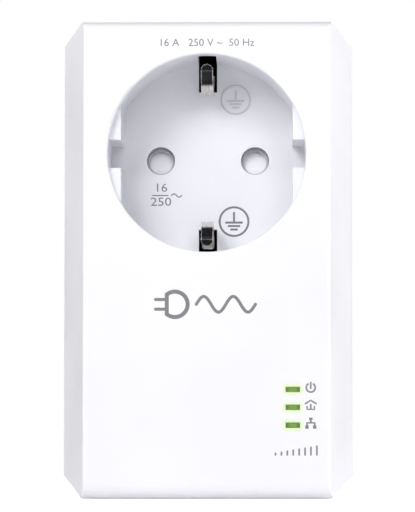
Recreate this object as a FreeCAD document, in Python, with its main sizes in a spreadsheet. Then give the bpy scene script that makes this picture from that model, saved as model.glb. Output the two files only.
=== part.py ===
import FreeCAD, Part
import os
from types import SimpleNamespace

import Sketcher
from FreeCAD import Placement, Rotation, Vector

# A plug-through powerline adapter, in millimetres. +Z is up, +X is right as seen from the front,
# and the front faces -Y. The origin lies midway between the two plug pins, on the end face of the
# round plug boss, so the pins point along +Y and the socket in the front shares their axis.

SIZES = {
    # housing
    "body_height": 94.0,
    "body_width": 58.0,
    "body_depth": 42.0,
    "face_width": 48.4,
    "bevel_depth": 17.7,
    "socket_drop": 26.1,
    "rear_draft": 0.8,
    "corner_run": 4.4,
    "corner_drop_top": 2.8,
    "corner_drop_low": 4.6,
    "edge_radius_top": 2.2,
    "edge_radius_low": 2.7,
    "face_edge_radius": 0.7,
    "rear_radius": 2.0,
    "cavity_radius": 0.8,
    "front_wall": 2.0,
    "rear_wall": 2.3,
    "lip_height": 2.0,
    "lip_wall": 1.2,
    "fit_clearance": 0.15,
    "seam_gap": 0.16,
    # socket
    "recess_diameter": 39.1,
    "recess_depth": 17.5,
    "mouth_radius": 0.5,
    "floor_thickness": 2.0,
    "well_wall": 1.6,
    "flange_width": 2.0,
    "flange_thickness": 1.5,
    "key_reach": 17.0,
    "key_groove": 5.6,
    "hole_play": 0.9,
    "slot_width": 3.7,
    "slot_inner": 13.9,
    "slot_start": 3.2,
    # shutter
    "shutter_layer": 2.4,
    "shutter_margin": 1.85,
    "shutter_height": 7.0,
    "shutter_step": 0.55,
    "rail_width": 1.1,
    "guide_plate": 1.0,
    "spring_room": 9.1,
    "spring_radius": 0.72,
    "spring_wire": 0.3,
    "spring_turns": 5.0,
    "moving_gap": 0.2,
    # earth clips
    "clip_width": 2.4,
    "clip_thickness": 0.7,
    "clip_bend": 8.0,
    "clip_reach": 12.7,
    "clip_depth": 12.0,
    "clip_tip": 5.0,
    # contacts and plug
    "contact_grip": 0.1,
    "contact_wall": 0.9,
    "contact_slit": 1.0,
    "carrier_margin": 4.25,
    "carrier_height": 22.0,
    "boss_length": 17.0,
    "boss_diameter": 36.8,
    "boss_flat": 16.4,
    "boss_rib": 5.0,
    "boss_notch": 5.0,
    "pin_spacing": 19.0,
    "pin_diameter": 4.8,
    "pin_length": 19.0,
    "shank_step": 0.4,
    "pin_relief": 0.4,
    "relief_depth": 0.8,
    "earth_offset": 10.0,
    "earth_play": 0.1,
    "earth_tube_wall": 0.55,
    "strip_offset": 16.2,
    "strip_thickness": 0.7,
    "strip_width": 4.0,
    # electronics
    "board_width": 48.0,
    "board_height": 40.5,
    "board_thickness": 1.6,
    "board_lift": 4.7,
    "board_low_gap": 1.1,
    "board_clearance": 0.4,
    "jack_width": 16.0,
    "jack_height": 13.6,
    "jack_length": 21.3,
    "jack_offset": -8.0,
    "jack_shield": 0.4,
    "port_width": 11.8,
    "port_height": 6.9,
    "port_depth": 13.5,
    "latch_width": 6.2,
    "latch_height": 2.4,
    "led_offset": 16.9,
    "led_rise": 21.3,
    "led_pitch": 3.5,
    "window_width": 2.75,
    "window_height": 1.0,
    # button
    "button_offset": 13.0,
    "button_width": 8.0,
    "button_height": 4.6,
    "button_sink": 0.2,
    "button_round": 2.1,
    "button_flange": 1.2,
    "switch_size": 6.2,
    # fasteners
    "post_from_side": 8.2,
    "post_from_top": 6.8,
    "post_from_low": 7.3,
    "post_radius": 2.7,
    "rear_post_radius": 3.8,
    "screw_diameter": 2.6,
    "screw_head": 4.8,
    "screw_head_height": 1.6,
    "screw_length": 21.0,
    "head_well": 4.0,
    "board_screw_offset": 21.4,
    "board_screw_drop": 2.9,
    "board_screw_length": 5.0,
    # openings
    "vent_width": 1.4,
    "vent_pitch": 3.2,
}
SIDE_VENTS = 8
TOP_VENTS = 7
STATUS_LIGHTS = 3
JACK_WIRES = 8
HEATSINK_FINS = 5

doc = FreeCAD.newDocument("powerline_adapter")


class Dim:
    """A length that carries its number and the sheet expression that gives it."""

    def __init__(self, number, text):
        self.number = number
        self.text = text

    def __add__(self, other):
        other = as_dim(other)
        return Dim(self.number + other.number, f"({self.text} + {other.text})")

    def __sub__(self, other):
        other = as_dim(other)
        return Dim(self.number - other.number, f"({self.text} - {other.text})")

    def __mul__(self, other):
        other = as_dim(other)
        return Dim(self.number * other.number, f"({self.text} * {other.text})")

    def __truediv__(self, other):
        other = as_dim(other)
        return Dim(self.number / other.number, f"({self.text} / {other.text})")

    def __neg__(self):
        return Dim(-self.number, f"(0 - {self.text})")

    def __radd__(self, other):
        return as_dim(other) + self

    def __rsub__(self, other):
        return as_dim(other) - self

    __rmul__ = __mul__


def as_dim(value):
    return value if isinstance(value, Dim) else Dim(float(value), str(float(value)))


def make_sheet():
    """The spreadsheet of driving sizes, and a Dim for each of its cells."""
    sheet = doc.addObject("Spreadsheet::Sheet", "sizes")
    for row, (name, value) in enumerate(SIZES.items(), 1):
        sheet.set(f"A{row}", name)
        sheet.set(f"B{row}", str(value))
        sheet.setAlias(f"B{row}", name)
    doc.recompute()
    return SimpleNamespace(**{name: Dim(value, f"sizes.{name}") for name, value in SIZES.items()})


S = make_sheet()

# Places that several pieces share, all worked out from the driving sizes.
BACK = -S.boss_length
FRONT = BACK - S.body_depth
RIDGE = FRONT + S.bevel_depth
PANEL = FRONT + S.front_wall
TOP = S.socket_drop
BOTTOM = TOP - S.body_height
HALF = S.body_width / 2
FACE_HALF = S.face_width / 2
FLARE = (HALF - FACE_HALF) / S.bevel_depth
RECESS = S.recess_diameter / 2
FLOOR = FRONT + S.recess_depth
FLOOR_BACK = FLOOR + S.floor_thickness
GUIDE = FLOOR_BACK + S.shutter_layer
CARRIER_FRONT = GUIDE + S.guide_plate
CARRIER_BACK = BACK - S.rear_wall - 2.0
REAR_INNER = BACK - S.rear_wall
PIN_X = S.pin_spacing / 2
PIN_HOLE = (S.pin_diameter + S.hole_play) / 2
SHUTTER_HALF = PIN_X + PIN_HOLE + S.shutter_margin
SHANK = (S.pin_diameter - S.shank_step) / 2
EARTH_BORE = (S.pin_diameter + S.earth_play) / 2
CONTACT_BORE = (S.pin_diameter - S.contact_grip) / 2
BOARD_BACK = REAR_INNER - S.board_lift
BOARD_FRONT = BOARD_BACK - S.board_thickness
BOARD_LOW = BOTTOM + S.rear_wall + S.board_low_gap
BOARD_TOP = BOARD_LOW + S.board_height
POST_JOIN = BACK - 13.0
LIP_NOTCH_RADIUS = S.post_radius + S.fit_clearance
PIN_RELIEF_RADIUS = (S.pin_diameter + S.pin_relief) / 2
POST_X = HALF - S.post_from_side
POST_LOW = BOTTOM + S.post_from_low
POSTS = [(side * POST_X, height) for side in (-1, 1) for height in (TOP - S.post_from_top, POST_LOW)]
BOARD_SCREWS = [(side * S.board_screw_offset, BOARD_TOP - S.board_screw_drop) for side in (-1, 1)]
LED_ROWS = [BOTTOM + S.led_rise - row * S.led_pitch for row in range(STATUS_LIGHTS)]
SWITCH_Y = BOARD_FRONT - S.switch_size / 2 - 0.6
ZERO = as_dim(0)
AXES = {"X": Rotation(Vector(0, 1, 0), 90), "Y": Rotation(Vector(1, 0, 0), -90), "Z": Rotation()}
PLANE_ROLES = {"XY": "XY_Plane", "XZ": "XZ_Plane", "YZ": "YZ_Plane"}
NODES = []


def node(obj, label):
    """Marks an object as a sub-part that is written under its label."""
    obj.Label = label
    NODES.append(obj)
    return obj


def box(label, x, y, z):
    """A block between a pair of limits on each axis."""
    block = doc.addObject("Part::Box", label)
    for size, place, limits in (("Length", "x", x), ("Width", "y", y), ("Height", "z", z)):
        low, high = as_dim(limits[0]), as_dim(limits[1])
        block.setExpression(size, (high - low).text)
        block.setExpression(f"Placement.Base.{place}", low.text)
    return block


def rod(label, axis, x, y, z, radius):
    """A cylinder along one axis: that axis has a pair of limits, and the others a place."""
    cylinder = doc.addObject("Part::Cylinder", label)
    cylinder.Placement = Placement(Vector(), AXES[axis])
    cylinder.setExpression("Radius", as_dim(radius).text)
    for name, place in (("X", x), ("Y", y), ("Z", z)):
        if name == axis:
            cylinder.setExpression("Height", (as_dim(place[1]) - as_dim(place[0])).text)
            place = place[0]
        cylinder.setExpression(f"Placement.Base.{name.lower()}", as_dim(place).text)
    return cylinder


def fuse(label, shapes):
    joined = doc.addObject("Part::MultiFuse", label)
    joined.Shapes = shapes
    return joined


def common(label, shapes):
    shared = doc.addObject("Part::MultiCommon", label)
    shared.Shapes = shapes
    return shared


def cut(label, base, tools):
    result = doc.addObject("Part::Cut", label)
    result.Base = base
    result.Tool = tools[0] if len(tools) == 1 else fuse(label + "_tools", tools)
    return result


def outline(sketch, points):
    """A closed polygon whose every corner is held by a dimension to the sketch's own axes."""
    count = len(points)
    places = [Vector(as_dim(across).number, as_dim(up).number, 0) for across, up in points]
    for index in range(count):
        sketch.addGeometry(Part.LineSegment(places[index], places[(index + 1) % count]))
    for index in range(count):
        sketch.addConstraint(Sketcher.Constraint("Coincident", index, 2, (index + 1) % count, 1))
    for index, (across, up) in enumerate(points):
        for kind, axis, length in (("DistanceX", -2, as_dim(across)), ("DistanceY", -1, as_dim(up))):
            if length is ZERO:
                sketch.addConstraint(Sketcher.Constraint("PointOnObject", index, 1, axis))
            else:
                held = sketch.addConstraint(Sketcher.Constraint(kind, -1, 1, index, 1, length.number))
                sketch.setExpression(f"Constraints[{held}]", length.text)


def prism(label, plane, limits, points):
    """A body padded from a polygon on a plane, between two places along the third axis."""
    body = doc.addObject("PartDesign::Body", label)
    sketch = body.newObject("Sketcher::SketchObject", label + "_outline")
    role = PLANE_ROLES[plane]
    sketch.AttachmentSupport = [(next(f for f in body.Origin.OriginFeatures if f.Role == role), "")]
    sketch.MapMode = "FlatFace"
    low, high = as_dim(limits[0]), as_dim(limits[1])
    # the XZ plane's normal points along -Y, so its sketch stands at the far limit
    lift = -high if plane == "XZ" else low
    sketch.setExpression("AttachmentOffset.Base.z", lift.text)
    outline(sketch, points)
    pad = body.newObject("PartDesign::Pad", label + "_pad")
    pad.Profile = sketch
    pad.setExpression("Length", (high - low).text)
    doc.recompute()
    return body


def round_edges(body, radius, axis, **places):
    """Fillets the body's straight edges along an axis that pass through the given places."""
    along = {"X": Vector(1, 0, 0), "Y": Vector(0, 1, 0), "Z": Vector(0, 0, 1)}[axis]
    chosen = []
    for number, edge in enumerate(body.Shape.Edges, 1):
        if edge.Curve.TypeId != "Part::GeomLine" or abs(edge.Curve.Direction * along) < 0.999:
            continue
        middle = edge.CenterOfMass
        if all(abs(getattr(middle, name) - place.number) < 0.001 for name, place in places.items()):
            chosen.append(f"Edge{number}")
    base = body.Tip
    fillet = body.newObject("PartDesign::Fillet", body.Name + "_fillet")
    fillet.Base = (base, chosen)
    fillet.setExpression("Radius", radius.text)
    doc.recompute()


def span(side, near, far):
    """The limits from near to far on the positive side of an axis, or the same on its negative side."""
    return (near, far) if side > 0 else (-far, -near)


def mirrored_x(points):
    """Points of a right-hand outline, followed by their mirror images."""
    return points + [(-across, up) for across, up in reversed(points)]


# ---------------------------------------------------------------- housing


def housing_form(label, inset, edge_top, edge_low, edge_back, edge_face):
    """The housing's outer shape, or with an inset its cavity: three outlines that meet."""
    inset = as_dim(inset)
    face_x = FACE_HALF + FLARE * inset - inset
    plan = prism(
        label + "_plan", "XY", (BOTTOM, TOP),
        mirrored_x([
            (face_x, FRONT + inset),
            (HALF - inset, RIDGE),
            (HALF - S.rear_draft - inset, BACK - inset),
        ]),
    )
    round_edges(plan, edge_face, "Z", y=FRONT + inset)
    round_edges(plan, edge_back, "Z", y=BACK - inset)
    upper, lower = TOP - inset, BOTTOM + inset
    face = prism(
        label + "_face", "XZ", (FRONT, BACK),
        mirrored_x([
            (HALF - S.corner_run - inset, lower),
            (HALF - inset, lower + S.corner_drop_low),
            (HALF - inset, upper - S.corner_drop_top),
            (HALF - S.corner_run - inset, upper),
        ]),
    )
    side = prism(
        label + "_side", "YZ", (-HALF, HALF),
        [(FRONT + inset, lower), (BACK - inset, lower), (BACK - inset, upper), (FRONT + inset, upper)],
    )
    round_edges(side, edge_top, "X", y=FRONT + inset, z=upper)
    round_edges(side, edge_low, "X", y=FRONT + inset, z=lower)
    round_edges(side, edge_back, "X", y=BACK - inset)
    return common(label, [plan, face, side])


def cavity(label, wall):
    return housing_form(label, wall, S.cavity_radius, S.cavity_radius, S.cavity_radius, S.cavity_radius)


def slab(label, start, end):
    """A block that covers the housing's whole outline between two depths."""
    return box(label, (-HALF - 1, HALF + 1), (start, end), (BOTTOM - 1, TOP + 1))


def mouth_tool():
    """Cuts the socket's round mouth through the front panel, with a rounded rim."""
    rounding = S.mouth_radius
    ring = doc.addObject("Part::Torus", "mouth_ring")
    ring.Placement = Placement(Vector(), AXES["Y"])
    ring.setExpression("Radius1", (RECESS + rounding).text)
    ring.setExpression("Radius2", rounding.text)
    ring.setExpression("Placement.Base.y", (FRONT + rounding).text)
    flare = rod("mouth_flare", "Y", 0, (FRONT - 1, FRONT + rounding), 0, RECESS + rounding)
    lip = cut("mouth_lip", flare, [ring])
    return fuse("mouth_tool", [lip, rod("mouth_bore", "Y", 0, (FRONT - 1, PANEL + 1), 0, RECESS)])


def front_shell(outer, inner):
    half = common("front_half", [outer, slab("front_slab", FRONT - 1, RIDGE - S.seam_gap)])
    shell = cut("front_walls", half, [inner])
    posts = [
        rod(f"front_post_{n}", "Y", x, (PANEL - 0.5, POST_JOIN), z, S.post_radius)
        for n, (x, z) in enumerate(POSTS)
    ]
    windows = [
        box(
            f"window_{n}",
            (S.led_offset - S.window_width / 2 - 0.05, S.led_offset + S.window_width / 2 + 0.05),
            (FRONT - 1, PANEL + 1),
            (z - S.window_height / 2 - 0.05, z + S.window_height / 2 + 0.05),
        )
        for n, z in enumerate(LED_ROWS)
    ]
    pilots = [
        rod(f"pilot_{n}", "Y", x, (POST_JOIN - 14, POST_JOIN + 1), z, S.screw_diameter / 2 + 0.05)
        for n, (x, z) in enumerate(POSTS)
    ]
    walls = fuse("front_with_posts", [shell, common("front_posts", [fuse("front_post_group", posts), outer])])
    return node(cut("front_shell_cut", walls, [mouth_tool()] + windows + pilots), "front_shell")


def boss():
    """The round plug body behind the housing, with flats, side ribs, and notches for the earth strips."""
    start = REAR_INNER + 0.5
    radius = S.boss_diameter / 2
    disc = rod("boss_disc", "Y", 0, (start, ZERO), 0, radius)
    flats = box("boss_flats", (-S.boss_flat, S.boss_flat), (start, ZERO), (-radius, radius))
    rib = box("boss_ribs", (0.5 - radius, radius - 0.5), (start, ZERO), (-S.boss_rib / 2, S.boss_rib / 2))
    body = fuse("boss_body", [common("boss_round", [disc, flats]), rib])
    depth = S.strip_offset - 0.6
    notches = [
        box(
            f"boss_notch_{n}",
            (-S.boss_notch / 2, S.boss_notch / 2),
            (BACK, 1),
            span(side, depth, radius + 1),
        )
        for n, side in enumerate((-1, 1))
    ]
    return cut("boss", body, notches)


def pin_passages():
    """Bores for the plug pins and the earth tube, through the rear wall and the boss."""
    tools = []
    for n, side in enumerate((-1, 1)):
        tools.append(rod(f"shank_bore_{n}", "Y", side * PIN_X, (REAR_INNER - 1, 1), 0, SHANK))
        relief = (-S.relief_depth, 1)
        tools.append(rod(f"pin_relief_{n}", "Y", side * PIN_X, relief, 0, PIN_RELIEF_RADIUS))
    tube = EARTH_BORE + S.earth_tube_wall
    tools.append(rod("earth_bore_back", "Y", 0, (REAR_INNER - 1, -S.relief_depth), S.earth_offset, tube))
    tools.append(rod("earth_bore_mouth", "Y", 0, (-2, 1), S.earth_offset, EARTH_BORE + 0.2))
    inner, outer = S.strip_offset, S.strip_offset + S.strip_thickness
    width = (-S.strip_width / 2, S.strip_width / 2)
    for n, side in enumerate((-1, 1)):
        tools.append(box(f"strip_passage_{n}", width, (REAR_INNER - 1, BACK + 1), span(side, inner, outer)))
    return tools


def vents():
    """Slots in both side walls behind the ridge, and in the top wall above the socket."""
    depth = (RIDGE + 5, BACK - 5)
    tools = []
    for n in range(SIDE_VENTS):
        low = BOARD_LOW + 9 + n * S.vent_pitch
        limits = (low, low + S.vent_width)
        tools.append(box(f"vent_left_{n}", (-HALF - 1, -HALF + 4), depth, limits))
        tools.append(box(f"vent_right_{n}", (HALF - 4, HALF + 1), depth, limits))
    for n in range(TOP_VENTS):
        middle = (n - (TOP_VENTS - 1) / 2) * S.vent_pitch
        limits = (middle - S.vent_width / 2, middle + S.vent_width / 2)
        tools.append(box(f"vent_top_{n}", limits, depth, (TOP - 3.5, TOP + 1)))
    return tools


def button_outline(label, height, margin):
    """The pairing button's rounded outline, a margin larger all round, between two heights."""
    half, deep = S.button_width / 2 + margin, S.button_height / 2 + margin
    left, right = S.button_offset - half, S.button_offset + half
    front, back = SWITCH_Y - deep, SWITCH_Y + deep
    body = prism(label, "XY", height, [(left, front), (right, front), (right, back), (left, back)])
    for across in (left, right):
        round_edges(body, S.button_round + margin, "Z", x=across)
    return body


def rear_shell(outer, inner):
    half = common("rear_half", [outer, slab("rear_slab", RIDGE, BACK + 1)])
    shell = cut("rear_walls", half, [inner])
    ring_span = slab("lip_span", RIDGE - S.lip_height, RIDGE + S.lip_height)
    lip_outer = cavity("lip_outer", S.front_wall + S.fit_clearance)
    lip_inner = cavity("lip_inner", S.front_wall + S.fit_clearance + S.lip_wall)
    post_room = [
        rod(f"lip_notch_{n}", "Y", x, (RIDGE - S.lip_height - 1, POST_JOIN), z, LIP_NOTCH_RADIUS)
        for n, (x, z) in enumerate(POSTS)
    ]
    lip = cut("lip", common("lip_block", [lip_outer, ring_span]), [lip_inner] + post_room)
    posts = [
        rod(f"rear_post_{n}", "Y", x, (POST_JOIN, REAR_INNER + 0.5), z, S.rear_post_radius)
        for n, (x, z) in enumerate(POSTS)
    ]
    posts += [
        rod(f"board_post_{n}", "Y", x, (BOARD_BACK, REAR_INNER + 0.5), z, S.post_radius)
        for n, (x, z) in enumerate(BOARD_SCREWS)
    ]
    tools = pin_passages() + vents()
    for n, (x, z) in enumerate(POSTS):
        tools.append(rod(f"screw_way_{n}", "Y", x, (POST_JOIN - 1, BACK + 1), z, S.screw_diameter / 2 + 0.1))
        head = S.screw_head / 2 + S.fit_clearance
        tools.append(rod(f"head_well_{n}", "Y", x, (BACK - S.head_well, BACK + 1), z, head))
    for n, (x, z) in enumerate(BOARD_SCREWS):
        tools.append(
            rod(f"board_pilot_{n}", "Y", x, (BOARD_BACK - 1, REAR_INNER), z, S.screw_diameter / 2 + 0.05)
        )
    jack = S.jack_width / 2 + S.fit_clearance
    tools.append(
        box(
            "jack_hole",
            (S.jack_offset - jack, S.jack_offset + jack),
            (BOARD_FRONT - S.jack_height - S.fit_clearance, BOARD_FRONT + S.fit_clearance),
            (BOTTOM - 1, BOARD_LOW),
        )
    )
    tools.append(button_outline("button_hole", (BOTTOM - 1, BOTTOM + S.rear_wall + 1), S.moving_gap))
    whole = fuse("rear_with_boss", [shell, lip, boss()] + posts)
    return node(cut("rear_shell_cut", whole, tools), "rear_shell")


# ---------------------------------------------------------------- socket


def socket_well():
    """The cup behind the front panel: round wall, side keys with grooves, floor with holes and slots."""
    radius = RECESS + S.well_wall
    disc = rod("well_flange_disc", "Y", 0, (PANEL, PANEL + S.flange_thickness), 0, radius + S.flange_width)
    flange = common("well_flange", [disc, cavity("flange_room", S.front_wall + S.fit_clearance)])
    cup = fuse("well_solid", [rod("well_body", "Y", 0, (PANEL, FLOOR_BACK), 0, radius), flange])
    bore = rod("well_bore", "Y", 0, (PANEL - 1, FLOOR), 0, RECESS)
    keyway = box("well_keyway", (-S.key_reach, S.key_reach), (PANEL - 1, FLOOR), (-RECESS, RECESS))
    groove = box("well_groove", (-RECESS, RECESS), (PANEL - 1, FLOOR), (-S.key_groove / 2, S.key_groove / 2))
    hollow = fuse("well_hollow", [common("well_round", [bore, keyway]), common("well_side", [bore, groove])])
    tools = [hollow]
    for n, side in enumerate((-1, 1)):
        tools.append(rod(f"pin_hole_{n}", "Y", side * PIN_X, (FLOOR - 1, FLOOR_BACK + 1), 0, PIN_HOLE))
    across = (-S.slot_width / 2, S.slot_width / 2)
    depth = (FRONT + S.slot_start, FLOOR_BACK + 1)
    for n, side in enumerate((-1, 1)):
        tools.append(box(f"clip_slot_{n}", across, depth, span(side, S.slot_inner, radius + 1)))
    return node(cut("socket_well_cut", cup, tools), "socket_well")


SHUTTER_TOP = S.shutter_height / 2
SPRING_SEAT = -SHUTTER_TOP - S.spring_room


def shutter():
    """One sliding piece that closes both pin holes, with the slope that the pins push on."""
    front, back = FLOOR_BACK + S.moving_gap, GUIDE - S.moving_gap
    blade = prism(
        "shutter_body", "YZ", (-SHUTTER_HALF, SHUTTER_HALF),
        [
            (front, -SHUTTER_TOP),
            (back, -SHUTTER_TOP),
            (back, SHUTTER_TOP),
            (back - S.shutter_step, SHUTTER_TOP),
            (front, -SHUTTER_TOP / 2),
        ],
    )
    return node(blade, "shutter")


def shutter_guide():
    inner = SHUTTER_HALF + S.moving_gap
    outer = inner + S.rail_width
    top, low = SHUTTER_TOP + S.moving_gap, SPRING_SEAT - S.rail_width
    plate = box("guide_plate", (-outer, outer), (GUIDE, CARRIER_FRONT), (low, top + S.rail_width))
    walls = [
        box("guide_left", (-outer, -inner), (FLOOR_BACK, GUIDE), (low, top + S.rail_width)),
        box("guide_right", (inner, outer), (FLOOR_BACK, GUIDE), (low, top + S.rail_width)),
        box("guide_stop", (-inner, inner), (FLOOR_BACK, GUIDE), (top, top + S.rail_width)),
        box("guide_seat", (-inner, inner), (FLOOR_BACK, GUIDE), (low, SPRING_SEAT)),
    ]
    holes = [
        rod(f"guide_hole_{n}", "Y", side * PIN_X, (GUIDE - 1, CARRIER_FRONT + 1), 0, PIN_HOLE)
        for n, side in enumerate((-1, 1))
    ]
    return node(cut("shutter_guide_cut", fuse("guide_tray", [plate] + walls), holes), "shutter_guide")


def shutter_spring():
    """A round-wire compression spring between the guide's seat and the shutter's lower edge."""
    wire = S.spring_wire.number / 2
    gap = 0.1
    low = SPRING_SEAT.number + gap + wire
    height = S.spring_room.number - 2 * (gap + wire)
    helix = Part.makeHelix(height / S.spring_turns.number, height, S.spring_radius.number)
    section = Part.Wire(Part.Circle(Vector(S.spring_radius.number, 0, 0), Vector(0, 1, 0), wire).toShape())
    coil = Part.Wire(helix.Edges).makePipeShell([section], True, True)
    spring = doc.addObject("Part::Feature", "shutter_spring")
    spring.Shape = coil
    spring.Placement = Placement(Vector(0, (FLOOR_BACK.number + GUIDE.number) / 2, low), Rotation())
    return node(spring, "shutter_spring")


CLIP_MIDDLE = FRONT + S.clip_depth
CLIP_CENTRE = S.clip_reach + S.clip_bend
CLIP_TAB = S.clip_reach + 3.2
CLIP_OUTER = S.clip_reach + 5.5
CLIP_ROUND = CLIP_OUTER - S.clip_width / 2
CLIP_BASE = CARRIER_FRONT + 0.4


def earth_clip(label, side):
    """A bent spring strip with a round tip, on a tab that reaches behind the floor."""
    across = (-S.clip_width / 2, S.clip_width / 2)
    wide = (-S.clip_width, S.clip_width)
    bend = cut(
        label + "_ring",
        rod(label + "_outer", "X", across, CLIP_MIDDLE, side * CLIP_CENTRE, S.clip_bend),
        [rod(label + "_inner", "X", wide, CLIP_MIDDLE, side * CLIP_CENTRE, S.clip_bend - S.clip_thickness)],
    )
    length = (FRONT + S.clip_tip, FLOOR + 1.2)
    window = fuse(
        label + "_window",
        [
            box(label + "_straight", across, length, span(side, S.clip_reach, CLIP_ROUND)),
            rod(label + "_round_tip", "Y", 0, length, side * CLIP_ROUND, S.clip_width / 2),
        ],
    )
    tab = span(side, CLIP_TAB, CLIP_TAB + S.clip_thickness)
    base = box(label + "_tab", across, (FLOOR + 0.9, CLIP_BASE), tab)
    return node(fuse(label + "_joined", [common(label + "_arc", [bend, window]), base]), label)


# ---------------------------------------------------------------- contacts and plug

TUBE = CONTACT_BORE + S.contact_wall
CONTACT_END = CARRIER_BACK - 0.2
TAB_LOW = -S.carrier_height / 2 - 1.6
TAB_Y = (CARRIER_BACK - 9.6, CARRIER_BACK - 8.4)


def contact(label, side):
    """A slit spring tube that grips a pin, with an end wall on the plug pin and a solder tab below."""
    x = side * PIN_X
    tube = cut(
        label + "_tube",
        rod(label + "_outer", "Y", x, (CARRIER_FRONT + 0.4, CONTACT_END), 0, TUBE),
        [
            rod(label + "_bore", "Y", x, (CARRIER_FRONT - 1, CONTACT_END - 1), 0, CONTACT_BORE),
            box(
                label + "_slit",
                (x - S.contact_slit / 2, x + S.contact_slit / 2),
                (CARRIER_FRONT - 1, CARRIER_FRONT + 7),
                (-TUBE - 1, TUBE + 1),
            ),
        ],
    )
    tab = box(label + "_tab", (x - 1, x + 1), TAB_Y, (TAB_LOW, -TUBE + 0.3))
    return node(fuse(label + "_joined", [tube, tab]), label)


def contact_carrier():
    half = PIN_X + TUBE + S.carrier_margin
    block = box(
        "carrier_block", (-half, half), (CARRIER_FRONT, CARRIER_BACK),
        (-S.carrier_height / 2, S.carrier_height / 2),
    )
    tools = []
    for n, side in enumerate((-1, 1)):
        x = side * PIN_X
        bore = TUBE + 0.1
        tools.append(rod(f"carrier_bore_{n}", "Y", x, (CARRIER_FRONT - 1, CARRIER_BACK + 1), 0, bore))
        tab = (TAB_Y[0] - 0.1, TAB_Y[1] + 0.1)
        tools.append(box(f"carrier_slot_{n}", (x - 1.1, x + 1.1), tab, (-S.carrier_height, 0)))
    return node(cut("contact_carrier_cut", block, tools), "contact_carrier")


def plug_pin(label, side):
    """A round pin with a domed tip, on a thinner shank that runs through the boss to its contact."""
    x = side * PIN_X
    radius = S.pin_diameter / 2
    shank = rod(label + "_shank", "Y", x, (CONTACT_END, ZERO), 0, SHANK)
    straight = S.pin_length - radius
    shaft = rod(label + "_shaft", "Y", x, (ZERO, straight), 0, radius)
    tip = doc.addObject("Part::Sphere", label + "_tip")
    tip.setExpression("Radius", radius.text)
    tip.setExpression("Placement.Base.x", x.text)
    tip.setExpression("Placement.Base.y", straight.text)
    return node(fuse(label + "_joined", [shank, shaft, tip]), label)


def plug_earth_strip(label, side):
    limits = span(side, S.strip_offset, S.strip_offset + S.strip_thickness)
    width = (-S.strip_width / 2, S.strip_width / 2)
    return node(box(label + "_strip", width, (CARRIER_BACK + 1.1, -S.relief_depth), limits), label)


def earth_pin_socket():
    """The tube in the boss that takes a wall socket's earth pin."""
    y = (CARRIER_BACK + 1.1, -S.relief_depth)
    outer = rod("earth_tube_outer", "Y", 0, y, S.earth_offset, EARTH_BORE + S.earth_tube_wall)
    inner = rod("earth_tube_inner", "Y", 0, (y[0] + 1, 1), S.earth_offset, EARTH_BORE)
    return node(cut("earth_pin_socket_cut", outer, [inner]), "earth_pin_socket")


def earth_strap():
    """The strap that joins both clips, both plug strips and the earth tube."""
    width = (-S.strip_width / 2, S.strip_width / 2)
    inner, outer = S.strip_offset, S.strip_offset + S.strip_thickness
    back = (CARRIER_BACK + 0.3, CARRIER_BACK + 1.1)
    pieces = [box("strap_bar", width, back, (-outer, outer))]
    for n, side in enumerate((-1, 1)):
        pieces.append(box(f"strap_leg_{n}", width, (CLIP_BASE + 0.3, back[1]), span(side, inner, outer)))
    return node(fuse("earth_strap_joined", pieces), "earth_strap")


# ---------------------------------------------------------------- board and what it carries


def main_board():
    half = S.board_width / 2
    board = box("board_plate", (-half, half), (BOARD_FRONT, BOARD_BACK), (BOARD_LOW, BOARD_TOP))
    depth = (BOARD_FRONT - 1, BOARD_BACK + 1)
    reach = S.rear_post_radius + S.board_clearance
    corner = (BOARD_LOW - 1, POST_LOW + reach)
    tools = [
        box(f"board_notch_{n}", span(side, POST_X - reach, HALF), depth, corner)
        for n, side in enumerate((-1, 1))
    ]
    tools += [
        rod(f"board_hole_{n}", "Y", x, depth, z, S.screw_diameter / 2 + 0.15)
        for n, (x, z) in enumerate(BOARD_SCREWS)
    ]
    return node(cut("main_board_cut", board, tools), "main_board")


def on_board(label, x, z, height):
    """A block that stands on the board's front, between limits across and up."""
    return box(label, x, (BOARD_FRONT - height, BOARD_FRONT), z)


def ethernet_jack():
    """A shielded jack that opens downwards: metal shield, moulded insert and spring wires."""
    x, half = S.jack_offset, S.jack_width / 2
    low = BOTTOM + 0.3
    high = low + S.jack_length
    front = BOARD_FRONT - S.jack_height
    wall = S.jack_shield
    shield = box("shield_block", (x - half, x + half), (front, BOARD_FRONT), (low, high))
    room = (x - half + wall, x + half - wall), (front + wall, BOARD_FRONT - wall), (low - 1, high - wall)
    node(cut("jack_shield_cut", shield, [box("shield_room", *room)]), "jack_shield")
    body = box("insert_block", room[0], room[1], (low + 0.2, high - wall))
    port_front = front + wall + 1.6
    port = (low - 1, low + S.port_depth)
    port_y = (port_front, port_front + S.port_height)
    latch_y = (port_y[1] - 0.1, port_y[1] + S.latch_height)
    hollow = [
        box("port_room", (x - S.port_width / 2, x + S.port_width / 2), port_y, port),
        box("latch_room", (x - S.latch_width / 2, x + S.latch_width / 2), latch_y, port),
    ]
    node(cut("jack_insert_cut", body, hollow), "jack_insert")
    wires = []
    for n in range(JACK_WIRES):
        middle = x + (n - (JACK_WIRES - 1) / 2) * 1.02
        reach = (port_y[0], port_y[0] + 0.35)
        wires.append(box(f"wire_{n}", (middle - 0.18, middle + 0.18), reach, (low + 3.5, port[1])))
    node(fuse("jack_contacts_joined", wires), "jack_contacts")


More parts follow.
